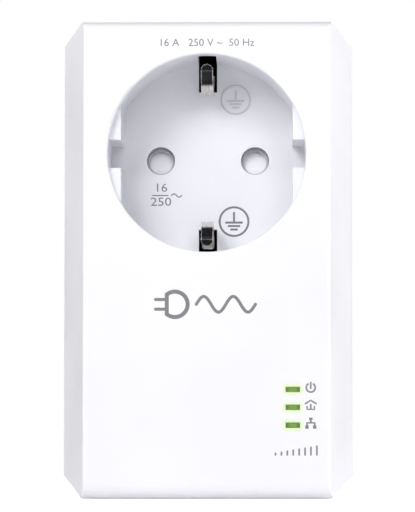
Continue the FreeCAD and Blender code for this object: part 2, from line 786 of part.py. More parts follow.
def power_parts():
    """The mains side of the board: transformer, capacitors, choke, varistor and fuse."""
    core = on_board("core_block", (-22.4, -7.6), (BOARD_TOP - 20.0, BOARD_TOP - 6.4), 16.0)
    window = box(
        "core_window",
        (-20.2, -9.8),
        (BOARD_FRONT - 17, BOARD_FRONT + 1),
        (BOARD_TOP - 17.4, BOARD_TOP - 9.0),
    )
    node(cut("transformer_core_cut", core, [window]), "transformer_core")
    winding_z = (BOARD_TOP - 17.2, BOARD_TOP - 9.2)
    node(on_board("winding", (-20.0, -10.0), winding_z, 14.5), "transformer_winding")
    film_z = (BOARD_TOP - 19.5, BOARD_TOP - 5.0)
    node(on_board("film_capacitor", (-6.4, -1.4), film_z, 13.0), "safety_capacitor")
    can = (BOARD_FRONT - 20.5, BOARD_FRONT)
    node(rod("bulk_can", "Y", 4.5, can, BOARD_TOP - 15.3, 4.5), "bulk_capacitor")
    low_can = (BOARD_FRONT - 11, BOARD_FRONT)
    node(rod("output_can", "Y", 21.4, low_can, BOARD_TOP - 23.2, 2.4), "output_capacitor")
    ring = (BOARD_FRONT - 8.0, BOARD_FRONT - 1.0)
    choke_z = BOARD_TOP - 12.4
    core = cut(
        "choke_core_cut",
        rod("choke_core_disc", "Y", 15.6, ring, choke_z, 5.4),
        [rod("choke_core_hole", "Y", 15.6, (BOARD_FRONT - 9, BOARD_FRONT), choke_z, 3.0)],
    )
    node(core, "choke_core")
    legs = [
        box("choke_leg_left", (10.6, 12.2), (BOARD_FRONT - 1.0, BOARD_FRONT), (choke_z - 1, choke_z + 1)),
        box("choke_leg_right", (19.0, 20.6), (BOARD_FRONT - 1.0, BOARD_FRONT), (choke_z - 1, choke_z + 1)),
    ]
    node(fuse("choke_base_joined", legs), "choke_base")
    node(rod("varistor_disc", "X", (5.2, 7.8), BOARD_FRONT - 4.6, BOARD_TOP - 4.9, 3.8), "varistor")
    node(on_board("fuse_block", (-6.4, 3.2), (BOARD_TOP - 4.0, BOARD_TOP - 0.6), 3.8), "mains_fuse")
    discs = [
        rod(
            f"disc_{n}", "Z", -20.4, BOARD_FRONT - 4.2,
            (BOARD_TOP - 26 - 6 * n, BOARD_TOP - 23.4 - 6 * n), 3.3,
        )
        for n in range(2)
    ]
    node(fuse("line_capacitors_joined", discs), "line_capacitors")


def signal_parts():
    """The data side of the board: chips, heat sink, crystal and the two signal transformers."""
    chip_z = (BOARD_TOP - 31.0, BOARD_TOP - 22.0)
    node(on_board("chip_block", (2.0, 11.0), chip_z, 1.0), "powerline_chip")
    base_y = (BOARD_FRONT - 2.4, BOARD_FRONT - 1.0)
    sink_z = (chip_z[0] - 0.4, chip_z[1] + 0.4)
    fins = [box("sink_base", (1.6, 11.4), base_y, sink_z)]
    for n in range(HEATSINK_FINS):
        left = 1.6 + n * 2.2
        fins.append(box(f"sink_fin_{n}", (left, left + 1.0), (BOARD_FRONT - 7.4, base_y[1]), sink_z))
    node(fuse("chip_heatsink_joined", fins), "chip_heatsink")
    node(on_board("crystal_can", (11.9, 14.7), (BOARD_TOP - 29.0, BOARD_TOP - 24.2), 1.2), "crystal")
    node(on_board("memory_block", (19.2, 23.6), (BOARD_TOP - 32.0, BOARD_TOP - 26.4), 1.0), "memory_chip")
    back = BOARD_BACK
    magnetics_z = (BOARD_TOP - 21, BOARD_TOP - 11)
    node(box("line_magnetics", (-14, -1.4), (back, back + 3.2), magnetics_z), "network_transformer")
    coupler_z = (BOARD_TOP - 19, BOARD_TOP - 11)
    node(box("coupler", (4, 12), (back, back + 3.6), coupler_z), "coupling_transformer")
    leds = [
        on_board(f"led_{n}", (S.led_offset - 0.8, S.led_offset + 0.8), (z - 0.4, z + 0.4), 0.8)
        for n, z in enumerate(LED_ROWS)
    ]
    node(fuse("status_leds_joined", leds), "status_leds")


def light_pipe():
    """Three clear prongs from the lights to the front face, held together by a bridge."""
    half = S.window_width / 2
    x = (S.led_offset - half, S.led_offset + half)
    prongs = [
        box(f"prong_{n}", x, (FRONT, BOARD_FRONT - 1.2), (z - S.window_height / 2, z + S.window_height / 2))
        for n, z in enumerate(LED_ROWS)
    ]
    span = (LED_ROWS[-1] - S.window_height / 2, LED_ROWS[0] + S.window_height / 2)
    prongs.append(box("pipe_bridge", x, (PANEL + 1.0, PANEL + 3.0), span))
    return node(fuse("light_pipe_joined", prongs), "light_pipe")


def lead(label, side):
    """A supply wire from a contact's tab down to the board, with one bend."""
    x = side * PIN_X.number
    radius, bend = 0.8, 2.4
    y, end = (TAB_Y[0].number + TAB_Y[1].number) / 2, BOARD_FRONT.number
    start, level = TAB_LOW.number, BOARD_TOP.number - 2.6
    turn = end - y - 0.4 if end - y - 0.4 < bend else bend
    corner = Vector(x, y, level)
    centre = corner + Vector(0, turn, turn)
    middle = centre + Vector(0, -turn, -turn) * 0.5 ** 0.5
    path = [
        Part.LineSegment(Vector(x, y, start), Vector(x, y, level + turn)),
        Part.Arc(Vector(x, y, level + turn), middle, Vector(x, y + turn, level)),
        Part.LineSegment(Vector(x, y + turn, level), Vector(x, end, level)),
    ]
    section = Part.Wire(Part.Circle(Vector(x, y, start), Vector(0, 0, 1), radius).toShape())
    wire = doc.addObject("Part::Feature", label)
    wire.Shape = Part.Wire([piece.toShape() for piece in path]).makePipeShell([section], True, False)
    return node(wire, label)


# ---------------------------------------------------------------- pairing button

SWITCH_TIP = BOTTOM + S.rear_wall + 2.6
SWITCH_FACE = SWITCH_TIP + 1.0


def switch_body():
    half = S.switch_size / 2
    block = box(
        "switch_block", (S.button_offset - half, S.button_offset + half),
        (SWITCH_Y - half, BOARD_FRONT), (SWITCH_FACE, SWITCH_FACE + 3.8),
    )
    way = rod("switch_way", "Z", S.button_offset, SWITCH_Y, (SWITCH_FACE - 1, SWITCH_FACE + 1.4), 1.7)
    return node(cut("switch_body_cut", block, [way]), "switch_body")


def switch_plunger():
    stem = rod("plunger_stem", "Z", S.button_offset, SWITCH_Y, (SWITCH_TIP, SWITCH_FACE + 0.6), 1.5)
    return node(stem, "switch_plunger")


def pair_button():
    """The cap in the bottom wall, with an inner flange and a stem that meets the switch."""
    x, half, deep = S.button_offset, S.button_width / 2, S.button_height / 2
    inner = BOTTOM + S.rear_wall + 0.1
    cap = button_outline("button_cap", (BOTTOM + S.button_sink, inner + 0.2), 0)
    half, deep = half + S.button_flange, deep + S.button_flange
    plate = (x - half, x + half), (SWITCH_Y - deep, SWITCH_Y + deep), (inner, inner + 0.9)
    flange = box("button_flange_plate", *plate)
    stem = rod("button_stem", "Z", x, SWITCH_Y, (inner + 0.5, SWITCH_TIP - 0.06), 1.5)
    return node(fuse("pair_button_joined", [cap, flange, stem]), "pair_button")


# ---------------------------------------------------------------- fasteners


def screw(label, x, z, head, length):
    """A pan-head screw with a cross slot, its head at a given depth and its shank along -Y."""
    shank = rod(label + "_shank", "Y", x, (head - length, head), z, S.screw_diameter / 2)
    cap = rod(label + "_cap", "Y", x, (head, head + S.screw_head_height), z, S.screw_head / 2)
    reach, half = S.screw_head / 2 - 0.7, 0.4
    depth = (head + S.screw_head_height - 0.7, head + S.screw_head_height + 1)
    slots = [
        box(label + "_slot_across", (x - reach, x + reach), depth, (z - half, z + half)),
        box(label + "_slot_up", (x - half, x + half), depth, (z - reach, z + reach)),
    ]
    return cut(label, fuse(label + "_blank", [shank, cap]), slots)


def case_screws():
    seat = BACK - S.head_well
    screws = [screw(f"case_screw_{n}", x, z, seat, S.screw_length) for n, (x, z) in enumerate(POSTS)]
    return node(fuse("case_screws_joined", screws), "case_screws")


def board_screws():
    """Two screws that come from the front side, so their heads lie on the board's face."""
    screws = []
    shank_y = (BOARD_FRONT, BOARD_FRONT + S.board_screw_length)
    for n, (x, z) in enumerate(BOARD_SCREWS):
        shank = rod(f"board_screw_shank_{n}", "Y", x, shank_y, z, S.screw_diameter / 2)
        head_y = (BOARD_FRONT - S.screw_head_height, BOARD_FRONT)
        head = rod(f"board_screw_head_{n}", "Y", x, head_y, z, S.screw_head / 2 - 0.3)
        screws.append(fuse(f"board_screw_{n}", [shank, head]))
    return node(fuse("board_screws_joined", screws), "board_screws")


def build():
    outer = housing_form(
        "outer", 0, S.edge_radius_top, S.edge_radius_low, S.rear_radius, S.face_edge_radius
    )
    front_shell(outer, cavity("front_cavity", S.front_wall))
    rear_shell(outer, cavity("rear_cavity", S.rear_wall))
    socket_well()
    shutter()
    shutter_guide()
    shutter_spring()
    earth_clip("earth_clip_top", 1)
    earth_clip("earth_clip_bottom", -1)
    contact("line_contact", 1)
    contact("neutral_contact", -1)
    contact_carrier()
    plug_pin("line_pin", 1)
    plug_pin("neutral_pin", -1)
    plug_earth_strip("plug_earth_top", 1)
    plug_earth_strip("plug_earth_bottom", -1)
    earth_pin_socket()
    earth_strap()
    main_board()
    ethernet_jack()
    power_parts()
    signal_parts()
    light_pipe()
    lead("line_lead", 1)
    lead("neutral_lead", -1)
    switch_body()
    switch_plunger()
    pair_button()
    case_screws()
    board_screws()
    doc.recompute()


def check():
    """Stops if any object failed, or if a sub-part has no valid solid."""
    for obj in doc.Objects:
        if "Invalid" in obj.State or "Error" in obj.State:
            raise RuntimeError(f"{obj.Name} failed: {obj.State}")
    for obj in NODES:
        shape = obj.Shape
        if shape.isNull() or not shape.isValid() or not shape.Solids:
            raise RuntimeError(f"{obj.Label} has no valid solid")


def write():
    os.makedirs("parts", exist_ok=True)
    for obj in NODES:
        obj.Shape.exportStep(f"parts/{obj.Label}.step")
        limits = obj.Shape.BoundBox
        print(
            f"{obj.Label:22s} solids {len(obj.Shape.Solids):2d}  volume {obj.Shape.Volume:9.2f}"
            f"  x {limits.XMin:7.2f} {limits.XMax:7.2f}  y {limits.YMin:7.2f} {limits.YMax:7.2f}"
            f"  z {limits.ZMin:7.2f} {limits.ZMax:7.2f}"
        )


build()
check()
write()
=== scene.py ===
import logging
import math
from dataclasses import dataclass, field
from enum import Enum

import bmesh
import bpy
from mathutils import Matrix, Vector


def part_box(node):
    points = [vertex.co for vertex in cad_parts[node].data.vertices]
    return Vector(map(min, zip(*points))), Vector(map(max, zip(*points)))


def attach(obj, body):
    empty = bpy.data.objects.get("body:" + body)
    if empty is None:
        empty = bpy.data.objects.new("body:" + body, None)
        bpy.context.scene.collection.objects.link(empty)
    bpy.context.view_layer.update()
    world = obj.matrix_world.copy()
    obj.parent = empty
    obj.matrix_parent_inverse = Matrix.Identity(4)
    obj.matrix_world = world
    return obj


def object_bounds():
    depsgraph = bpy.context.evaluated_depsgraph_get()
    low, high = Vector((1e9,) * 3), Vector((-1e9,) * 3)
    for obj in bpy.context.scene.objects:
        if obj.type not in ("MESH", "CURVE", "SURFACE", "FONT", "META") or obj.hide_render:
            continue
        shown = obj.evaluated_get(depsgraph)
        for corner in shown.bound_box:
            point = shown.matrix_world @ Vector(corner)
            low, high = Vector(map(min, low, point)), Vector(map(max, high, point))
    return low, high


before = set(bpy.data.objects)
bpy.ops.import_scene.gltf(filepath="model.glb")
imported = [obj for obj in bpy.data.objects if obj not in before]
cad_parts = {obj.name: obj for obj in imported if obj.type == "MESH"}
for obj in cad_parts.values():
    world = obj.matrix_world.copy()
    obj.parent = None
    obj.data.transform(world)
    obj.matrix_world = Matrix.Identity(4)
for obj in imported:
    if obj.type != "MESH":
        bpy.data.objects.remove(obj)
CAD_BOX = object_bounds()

LOG = logging.getLogger("adapter")
MM = 0.001
PRINT_RISE = 0.01
CAPITAL_SHARE = 0.69
MIDDLE_TONES = (0.3, 0.7)
DUST_GREY = (0.62, 0.60, 0.56)

Color = tuple[float, float, float]
Triple = tuple[float, float, float]
Point = tuple[float, float]
Socket = bpy.types.NodeSocket


class Effect(Enum):
    """The shader groups that several finishes share."""

    GRAIN = "moulded_grain"
    WEAR = "edge_wear"
    DUST = "settled_dust"
    STREAK = "drawn_streaks"


class Side(Enum):
    """A side of the adapter, as the turn that lays what is drawn in X and Y on it."""

    FRONT = ((1, 0, 0), (0, 0, 1), (0, -1, 0))
    BACK = ((-1, 0, 0), (0, 0, 1), (0, 1, 0))
    BOTTOM = ((1, 0, 0), (0, -1, 0), (0, 0, -1))
    RIGHT = ((0, 1, 0), (0, 0, 1), (1, 0, 0))

    def matrix(self, origin: Vector) -> Matrix:
        """Gives the matrix from the mark's own plane to this side.

        Args:
            origin: where the mark's own origin lies, in metres.

        Returns:
            A matrix whose first two columns run along the side and whose third points out of it.
        """
        right, up, out = (Vector(axis) for axis in self.value)
        turned = Matrix((right, up, out)).transposed().to_4x4()
        return Matrix.Translation(origin) @ turned


class Graph:
    """A node tree with short calls that add nodes and join them."""

    def __init__(self, tree: bpy.types.NodeTree) -> None:
        """Keeps the tree that the nodes go in."""
        self.tree = tree

    def add(self, kind: str, values: dict | None = None, **settings: object) -> bpy.types.Node:
        """Adds one node.

        Args:
            kind: the node's type name.
            values: constants or sockets for its inputs, by name or number.
            settings: the node's own properties.

        Returns:
            The new node.
        """
        node = self.tree.nodes.new(kind)
        for name, setting in settings.items():
            setattr(node, name, setting)
        for socket, value in (values or {}).items():
            if isinstance(value, Socket):
                self.tree.links.new(value, node.inputs[socket])
            else:
                node.inputs[socket].default_value = value
        return node

    def math(self, operation: str, first: object, second: object = 0.0, clamp: bool = False) -> Socket:
        """Adds a Math node, whose inputs are numbers or sockets, and gives its value."""
        node = self.add("ShaderNodeMath", {0: first, 1: second}, operation=operation, use_clamp=clamp)
        return node.outputs[0]

    def remap(self, value: object, low: float, high: float, to_low: float, to_high: float) -> Socket:
        """Adds a smooth Map Range node, from low and high to to_low and to_high, and gives its result."""
        inputs = {"Value": value, "From Min": low, "From Max": high, "To Min": to_low, "To Max": to_high}
        return self.add("ShaderNodeMapRange", inputs, interpolation_type="SMOOTHSTEP").outputs["Result"]

    def mix(self, share: object, first: object, second: object) -> Socket:
        """Adds a colour Mix node.

        Args:
            share: how much of the second colour shows, from 0 to 1.
            first: the first colour or socket.
            second: the second colour or socket.

        Returns:
            The mixed colour.
        """
        node = self.add("ShaderNodeMix", data_type="RGBA")
        for number, value in ((0, share), (6, first), (7, second)):
            if isinstance(value, Socket):
                self.tree.links.new(value, node.inputs[number])
            else:
                node.inputs[number].default_value = value
        return node.outputs[2]

    def group(self, effect: Effect, **values: object) -> bpy.types.Node:
        """Places a shared effect with this finish's own values."""
        return self.add("ShaderNodeGroup", values, node_tree=EffectLibrary.tree(effect))

    def place(self) -> Socket:
        """Gives the point's place in the object's own frame."""
        return self.add("ShaderNodeTexCoord").outputs["Object"]

    def axes(self) -> bpy.types.Node:
        """Gives a node with the point's place as its outputs X, Y and Z."""
        return self.add("ShaderNodeSeparateXYZ", {0: self.place()})

    def noise(self, place: Socket, scale: object, detail: float) -> Socket:
        """Adds a Noise node that is read at a place and gives its value, from 0 to 1."""
        values = {"Vector": place, "Scale": scale, "Detail": detail}
        return self.add("ShaderNodeTexNoise", values).outputs[0]


class EffectLibrary:
    """Builds each shared effect the first time that a finish asks for it."""

    @classmethod
    def tree(cls, effect: Effect) -> bpy.types.NodeTree:
        """Finds or builds the node tree of an effect.

        Args:
            effect: the effect that a finish asks for.

        Returns:
            The effect's shader node group.
        """
        found = bpy.data.node_groups.get(effect.value)
        if found:
            return found
        builders = {
            Effect.GRAIN: cls._grain,
            Effect.WEAR: cls._wear,
            Effect.DUST: cls._dust,
            Effect.STREAK: cls._streak,
        }
        tree = bpy.data.node_groups.new(effect.value, "ShaderNodeTree")
        builders[effect](tree)
        return tree

    @staticmethod
    def _sockets(tree: bpy.types.NodeTree, inputs: dict, outputs: tuple) -> tuple:
        """Makes a group's sockets.

        Args:
            tree: the group.
            inputs: each input's name with its first value.
            outputs: the names of the values it puts out.

        Returns:
            The group's graph, its input node and its output node.
        """
        for name, value in inputs.items():
            kind = "NodeSocketVector" if isinstance(value, tuple) else "NodeSocketFloat"
            tree.interface.new_socket(name=name, in_out="INPUT", socket_type=kind).default_value = value
        for name in outputs:
            tree.interface.new_socket(name=name, in_out="OUTPUT", socket_type="NodeSocketFloat")
        graph = Graph(tree)
        return graph, graph.add("NodeGroupInput"), graph.add("NodeGroupOutput")

    @classmethod
    def _grain(cls, tree: bpy.types.NodeTree) -> None:
        """Fine spark-eroded grain with a slow change of tone across the moulding.

        Args:
            tree: the group that is filled.
        """
        graph, given, out = cls._sockets(tree, {"Scale": 8000.0, "Flow": 45.0}, ("Height", "Tone"))
        place = graph.place()
        fine = graph.noise(place, given.outputs["Scale"], 3.0)
        cell = graph.add("ShaderNodeTexVoronoi", {"Vector": place, "Scale": given.outputs["Scale"]})
        slow = graph.noise(place, given.outputs["Flow"], 2.0)
        height = graph.math("ADD", fine, graph.math("MULTIPLY", cell.outputs["Distance"], 0.4))
        shallow = graph.math("MULTIPLY", height, 0.2)
        tone = graph.math("ADD", graph.math("MULTIPLY", slow, 0.8), shallow)
        tree.links.new(height, out.inputs["Height"])
        tree.links.new(tone, out.inputs["Tone"])

    @classmethod
    def _wear(cls, tree: bpy.types.NodeTree) -> None:
        """A mask along the outer edges, broken up as handling breaks it up, for edge wear and for the
        painted edge highlight of the spring clips.

        Args:
            tree: the group that is filled.
        """
        graph, given, out = cls._sockets(tree, {"Radius": 0.0003, "Strength": 6.0}, ("Mask",))
        rounded = graph.add("ShaderNodeBevel", {"Radius": given.outputs["Radius"]}, samples=4)
        flat = graph.add("ShaderNodeNewGeometry")
        normals = {0: rounded.outputs[0], 1: flat.outputs["Normal"]}
        turn = graph.add("ShaderNodeVectorMath", normals, operation="DOT_PRODUCT")
        bend = graph.math("SUBTRACT", 1.0, turn.outputs["Value"])
        edge = graph.math("MULTIPLY", bend, given.outputs["Strength"])
        patch = graph.remap(graph.noise(graph.place(), 700.0, 4.0), 0.35, 0.65, 0.3, 1.0)
        tree.links.new(graph.math("MULTIPLY", edge, patch, clamp=True), out.inputs["Mask"])

    @classmethod
    def _dust(cls, tree: bpy.types.NodeTree) -> None:
        """A thin patchy film on the faces that look up.

        Args:
            tree: the group that is filled.
        """
        graph, given, out = cls._sockets(tree, {"Amount": 0.3, "Scale": 160.0}, ("Mask",))
        flat = graph.add("ShaderNodeNewGeometry")
        normal = graph.add("ShaderNodeSeparateXYZ", {0: flat.outputs["Normal"]})
        upward = graph.remap(normal.outputs["Z"], 0.55, 1.0, 0.0, 1.0)
        patch = graph.remap(graph.noise(graph.place(), given.outputs["Scale"], 5.0), 0.35, 0.75, 0.2, 1.0)
        cover = graph.math("MULTIPLY", upward, patch)
        amount = graph.math("MULTIPLY", cover, given.outputs["Amount"], clamp=True)
        tree.links.new(amount, out.inputs["Mask"])

    @classmethod
    def _streak(cls, tree: bpy.types.NodeTree) -> None:
        """Fine lines left by drawing, rolling or turning a metal.

        Args:
            tree: the group that is filled.
        """
        graph, given, out = cls._sockets(tree, {"Stretch": (200.0, 6000.0, 6000.0)}, ("Height", "Tone"))
        place = graph.place()
        factors = {0: place, 1: given.outputs["Stretch"]}
        drawn = graph.add("ShaderNodeVectorMath", factors, operation="MULTIPLY")
        lines = graph.noise(drawn.outputs[0], 1.0, 3.0)
        blotch = graph.noise(place, 350.0, 3.0)
        tone = graph.math("MULTIPLY", graph.math("ADD", lines, blotch), 0.5)
        tree.links.new(lines, out.inputs["Height"])
        tree.links.new(tone, out.inputs["Tone"])


@dataclass(frozen=True)
class Finish:
    """A finish with grain, a slow change of tone, edge wear, on the spring clips also a painted edge
    highlight, and a film of dust.
    """

    name: str
    color: Color
    roughness: float
    metallic: float = 0.0
    coat: float = 0.0
    specular: float = 0.5
    tone: float = 0.03
    grain_scale: float = 8000.0
    grain_depth: float = 0.004
    rough_spread: float = 0.06
    wear_and_highlight_radius: float = 0.00025
    wear_and_highlight_color: Color = (1.0, 1.0, 1.0)
    wear_and_highlight_share: float = 0.35
    dust: float = 0.12

    def material(self) -> bpy.types.Material:
        """Finds or builds this finish's material.

        Returns:
            The material, shared by every piece that has this finish.
        """
        found = bpy.data.materials.get(self.name)
        if found:
            return found
        material = bpy.data.materials.new(self.name)
        material.use_nodes = True
        material.node_tree.nodes.clear()
        graph = Graph(material.node_tree)
        shader = graph.add("ShaderNodeBsdfPrincipled")
        output = graph.add("ShaderNodeOutputMaterial")
        graph.tree.links.new(shader.outputs[0], output.inputs["Surface"])
        self.constants(shader)
        self.paint(graph, shader)
        return material

    def constants(self, shader: bpy.types.Node) -> None:
        """Sets what is the same all over the surface.

        Args:
            shader: the material's Principled node.
        """
        shader.inputs["Metallic"].default_value = self.metallic
        shader.inputs["Coat Weight"].default_value = self.coat
        shader.inputs["Specular IOR Level"].default_value = self.specular

    def paint(self, graph: Graph, shader: bpy.types.Node) -> None:
        """Joins the effects to the shader.

        Args:
            graph: the material's graph.
            shader: the material's Principled node.
        """
        height, tone = self.surface(graph)
        base = self.base(graph, tone)
        # edge mask: real wear on most finishes, a painted bright highlight on the spring clips
        wear = graph.group(Effect.WEAR, Radius=self.wear_and_highlight_radius).outputs["Mask"]
        worn_and_highlit = graph.mix(graph.math("MULTIPLY", wear, self.wear_and_highlight_share), base, (*self.wear_and_highlight_color, 1.0))
        dust = graph.group(Effect.DUST, Amount=self.dust).outputs["Mask"]
        color = graph.mix(dust, worn_and_highlit, (*DUST_GREY, 1.0))
        graph.tree.links.new(color, shader.inputs["Base Color"])
        smooth, coarse = self.roughness - self.rough_spread, self.roughness + self.rough_spread
        rough = graph.remap(tone, *MIDDLE_TONES, smooth, coarse)
        dull = graph.math("ADD", rough, graph.math("MULTIPLY", dust, 0.3), clamp=True)
        graph.tree.links.new(dull, shader.inputs["Roughness"])
        relief = {"Height": height, "Distance": self.grain_depth * MM, "Strength": 1.0}
        bump = graph.add("ShaderNodeBump", relief)
        graph.tree.links.new(bump.outputs[0], shader.inputs["Normal"])

    def surface(self, graph: Graph) -> tuple[Socket, Socket]:
        """Gives the height of the grain and the change of tone.

        Args:
            graph: the material's graph.

        Returns:
            The height and the tone, from 0 to 1.
        """
        grain = graph.group(Effect.GRAIN, Scale=self.grain_scale)
        return grain.outputs["Height"], grain.outputs["Tone"]

    def base(self, graph: Graph, tone: Socket) -> Socket:
        """Gives the colour before wear and dust.

        Args:
            graph: the material's graph.
            tone: the slow change of tone.

        Returns:
            The colour's socket.
        """
        darker = tuple(channel * (1.0 - self.tone) for channel in self.color)
        lighter = tuple(min(1.0, channel * (1.0 + self.tone)) for channel in self.color)
        return graph.mix(graph.remap(tone, *MIDDLE_TONES, 0.0, 1.0), (*darker, 1.0), (*lighter, 1.0))


@dataclass(frozen=True)
class PaintedGlowFace(Finish):
    """White plastic with a green glow painted into its colour round each status window, standing for the
    lamps' light spreading into it.
    """

    windows: tuple[tuple[float, float, float, float], ...] = ()
    spread: float = 1.1
    # painted glow: the green mixed into the base colour round each window
    glow: Color = (0.80, 0.93, 0.58)

    def base(self, graph: Graph, tone: Socket) -> Socket:
        """Paints the green glow of the lamps into the plain colour round each window.

        Args:
            graph: the material's graph.
            tone: the slow change of tone.

        Returns:
            The colour's socket.
        """
        plain = super().base(graph, tone)
        place = graph.axes()
        nearest: object = 1.0
        for middle_x, middle_z, half_x, half_z in self.windows:
            across = graph.math("ABSOLUTE", graph.math("SUBTRACT", place.outputs["X"], middle_x))
            along = graph.math("ABSOLUTE", graph.math("SUBTRACT", place.outputs["Z"], middle_z))
            past_x = graph.math("MAXIMUM", graph.math("SUBTRACT", across, half_x), 0.0)
            past_z = graph.math("MAXIMUM", graph.math("SUBTRACT", along, half_z), 0.0)
            squares = graph.math("ADD", graph.math("POWER", past_x, 2.0), graph.math("POWER", past_z, 2.0))
            gap = graph.math("SQRT", squares)
            nearest = graph.math("MINIMUM", gap, nearest)
        # painted glow: strongest at each window's edge, gone a little way off
        painted_glow_share = graph.remap(nearest, 0.0, self.spread * MM, 1.0, 0.0)
        return graph.mix(painted_glow_share, plain, (*self.glow, 1.0))


@dataclass(frozen=True)
class LitWindow(Finish):
    """Clear acrylic with the green of the lamp behind it, dimmer towards the ends."""

    windows: tuple[tuple[float, float, float, float], ...] = ()
    middle: Color = (0.17, 0.29, 0.05)
    rim: Color = (0.05, 0.10, 0.012)

    def paint(self, graph: Graph, shader: bpy.types.Node) -> None:
        """Lights the window and leaves its gloss to the plain finish.

        Args:
            graph: the material's graph.
            shader: the material's Principled node.
        """
        super().paint(graph, shader)
        place = graph.axes()
        middle_x, _, half_x, half_z = self.windows[0]
        across = graph.math("ABSOLUTE", graph.math("SUBTRACT", place.outputs["X"], middle_x))
        to_end = graph.remap(across, half_x * 0.35, half_x, 0.0, 1.0)
        to_side: object = 1.0
        for _, middle_z, _, _ in self.windows:
            along = graph.math("ABSOLUTE", graph.math("SUBTRACT", place.outputs["Z"], middle_z))
            to_side = graph.math("MINIMUM", graph.remap(along, half_z * 0.5, half_z, 0.0, 1.0), to_side)
        edge = graph.math("MAXIMUM", to_end, to_side)
        # painted glow: the window's own emission stands for the lamp behind it, dimmer towards the ends and
        # the sides
        light = graph.mix(edge, (*self.middle, 1.0), (*self.rim, 1.0))
        graph.tree.links.new(light, shader.inputs["Emission Color"])
        shader.inputs["Emission Strength"].default_value = 1.0


@dataclass(frozen=True)
class Metal(Finish):
    """A drawn, rolled or turned metal with fine lines along one axis."""

    metallic: float = 1.0
    stretch: Triple = (200.0, 6000.0, 6000.0)
    wear_and_highlight_share: float = 0.5
    dust: float = 0.04

    def surface(self, graph: Graph) -> tuple[Socket, Socket]:
        """Gives the height of the drawn lines and the change of tone.

        Args:
            graph: the material's graph.

        Returns:
            The height and the tone, from 0 to 1.
        """
        lines = graph.group(Effect.STREAK, Stretch=self.stretch)
        return lines.outputs["Height"], lines.outputs["Tone"]


@dataclass(frozen=True)
class SpringClip(Metal):
    """A spring strip with the dark of the room painted on as a reflection towards the mouth, and bright
    edges that are partly real polish and partly a painted highlight.
    """

    # painted reflection: the dark of the room that the strip mirrors towards the mouth
    front: Color = (0.03, 0.03, 0.033)
    front_y: float = -51.6
    blend: float = 0.4
    behind_metallic: float = 0.35
    wear_and_highlight_radius: float = 0.0004
    # painted highlight: bright edge colour at full share, partly standing for polish
    wear_and_highlight_color: Color = (0.92, 0.91, 0.88)
    wear_and_highlight_share: float = 1.0

    def ends(self) -> Point:
        """Gives both ends, in metres along Y, of the passage from the painted dark reflection at the front
        to the tab.
        """
        return (self.front_y - self.blend) * MM, (self.front_y + self.blend) * MM

    def base(self, graph: Graph, tone: Socket) -> Socket:
        """Paints the dark reflection of the room onto the part of the strip that stands towards the mouth.

        Args:
            graph: the material's graph.
            tone: the slow change of tone.

        Returns:
            The colour's socket.
        """
        plain = super().base(graph, tone)
        place = graph.axes()
        # painted reflection mixed over the part of the strip in front of the passage
        return graph.mix(graph.remap(place.outputs["Y"], *self.ends(), 1.0, 0.0), plain, (*self.front, 1.0))

    def paint(self, graph: Graph, shader: bpy.types.Node) -> None:
        """Lets the tab behind the bend catch the light of the recess, as scuffed plating does.

        Args:
            graph: the material's graph.
            shader: the material's Principled node.
        """
        super().paint(graph, shader)
        place = graph.axes()
        share = graph.remap(place.outputs["Y"], *self.ends(), self.metallic, self.behind_metallic)
        graph.tree.links.new(share, shader.inputs["Metallic"])


@dataclass(frozen=True)
class CircuitBoard(Finish):
    """Green solder mask over a pattern of copper tracks on glass epoxy."""

    track: Color = (0.02, 0.17, 0.06)

    def base(self, graph: Graph, tone: Socket) -> Socket:
        """Shows the tracks as a lighter green under the mask.

        Args:
            graph: the material's graph.
            tone: the slow change of tone.

        Returns:
            The colour's socket.
        """
        plain = super().base(graph, tone)
        place = graph.place()
        cells = graph.add("ShaderNodeTexVoronoi", {"Vector": place, "Scale": 260.0}, distance="CHEBYCHEV")
        lines = graph.add("ShaderNodeTexWave", {"Vector": place, "Scale": 500.0}, wave_profile="SIN")
        banks = graph.remap(cells.outputs["Color"], 0.45, 0.5, 0.0, 1.0)
        track = graph.math("MULTIPLY", banks, graph.remap(lines.outputs[1], 0.45, 0.6, 0.0, 1.0))
        return graph.mix(track, plain, (*self.track, 1.0))


@dataclass(frozen=True)
class Banded(Finish):
    """A wrapped finish, such as tape or a printed sleeve, with bands along one axis."""

    axis: str = "Z"
    band_scale: float = 900.0
    band: Color = (0.6, 0.5, 0.1)

    def base(self, graph: Graph, tone: Socket) -> Socket:
        """Shows the overlaps of the wrap as darker lines.

        Args:
            graph: the material's graph.
            tone: the slow change of tone.

        Returns:
            The colour's socket.
        """
        plain = super().base(graph, tone)
        values = {"Vector": graph.place(), "Scale": self.band_scale}
        waves = graph.add("ShaderNodeTexWave", values, bands_direction=self.axis)
        return graph.mix(graph.remap(waves.outputs[1], 0.8, 1.0, 0.0, 0.6), plain, (*self.band, 1.0))


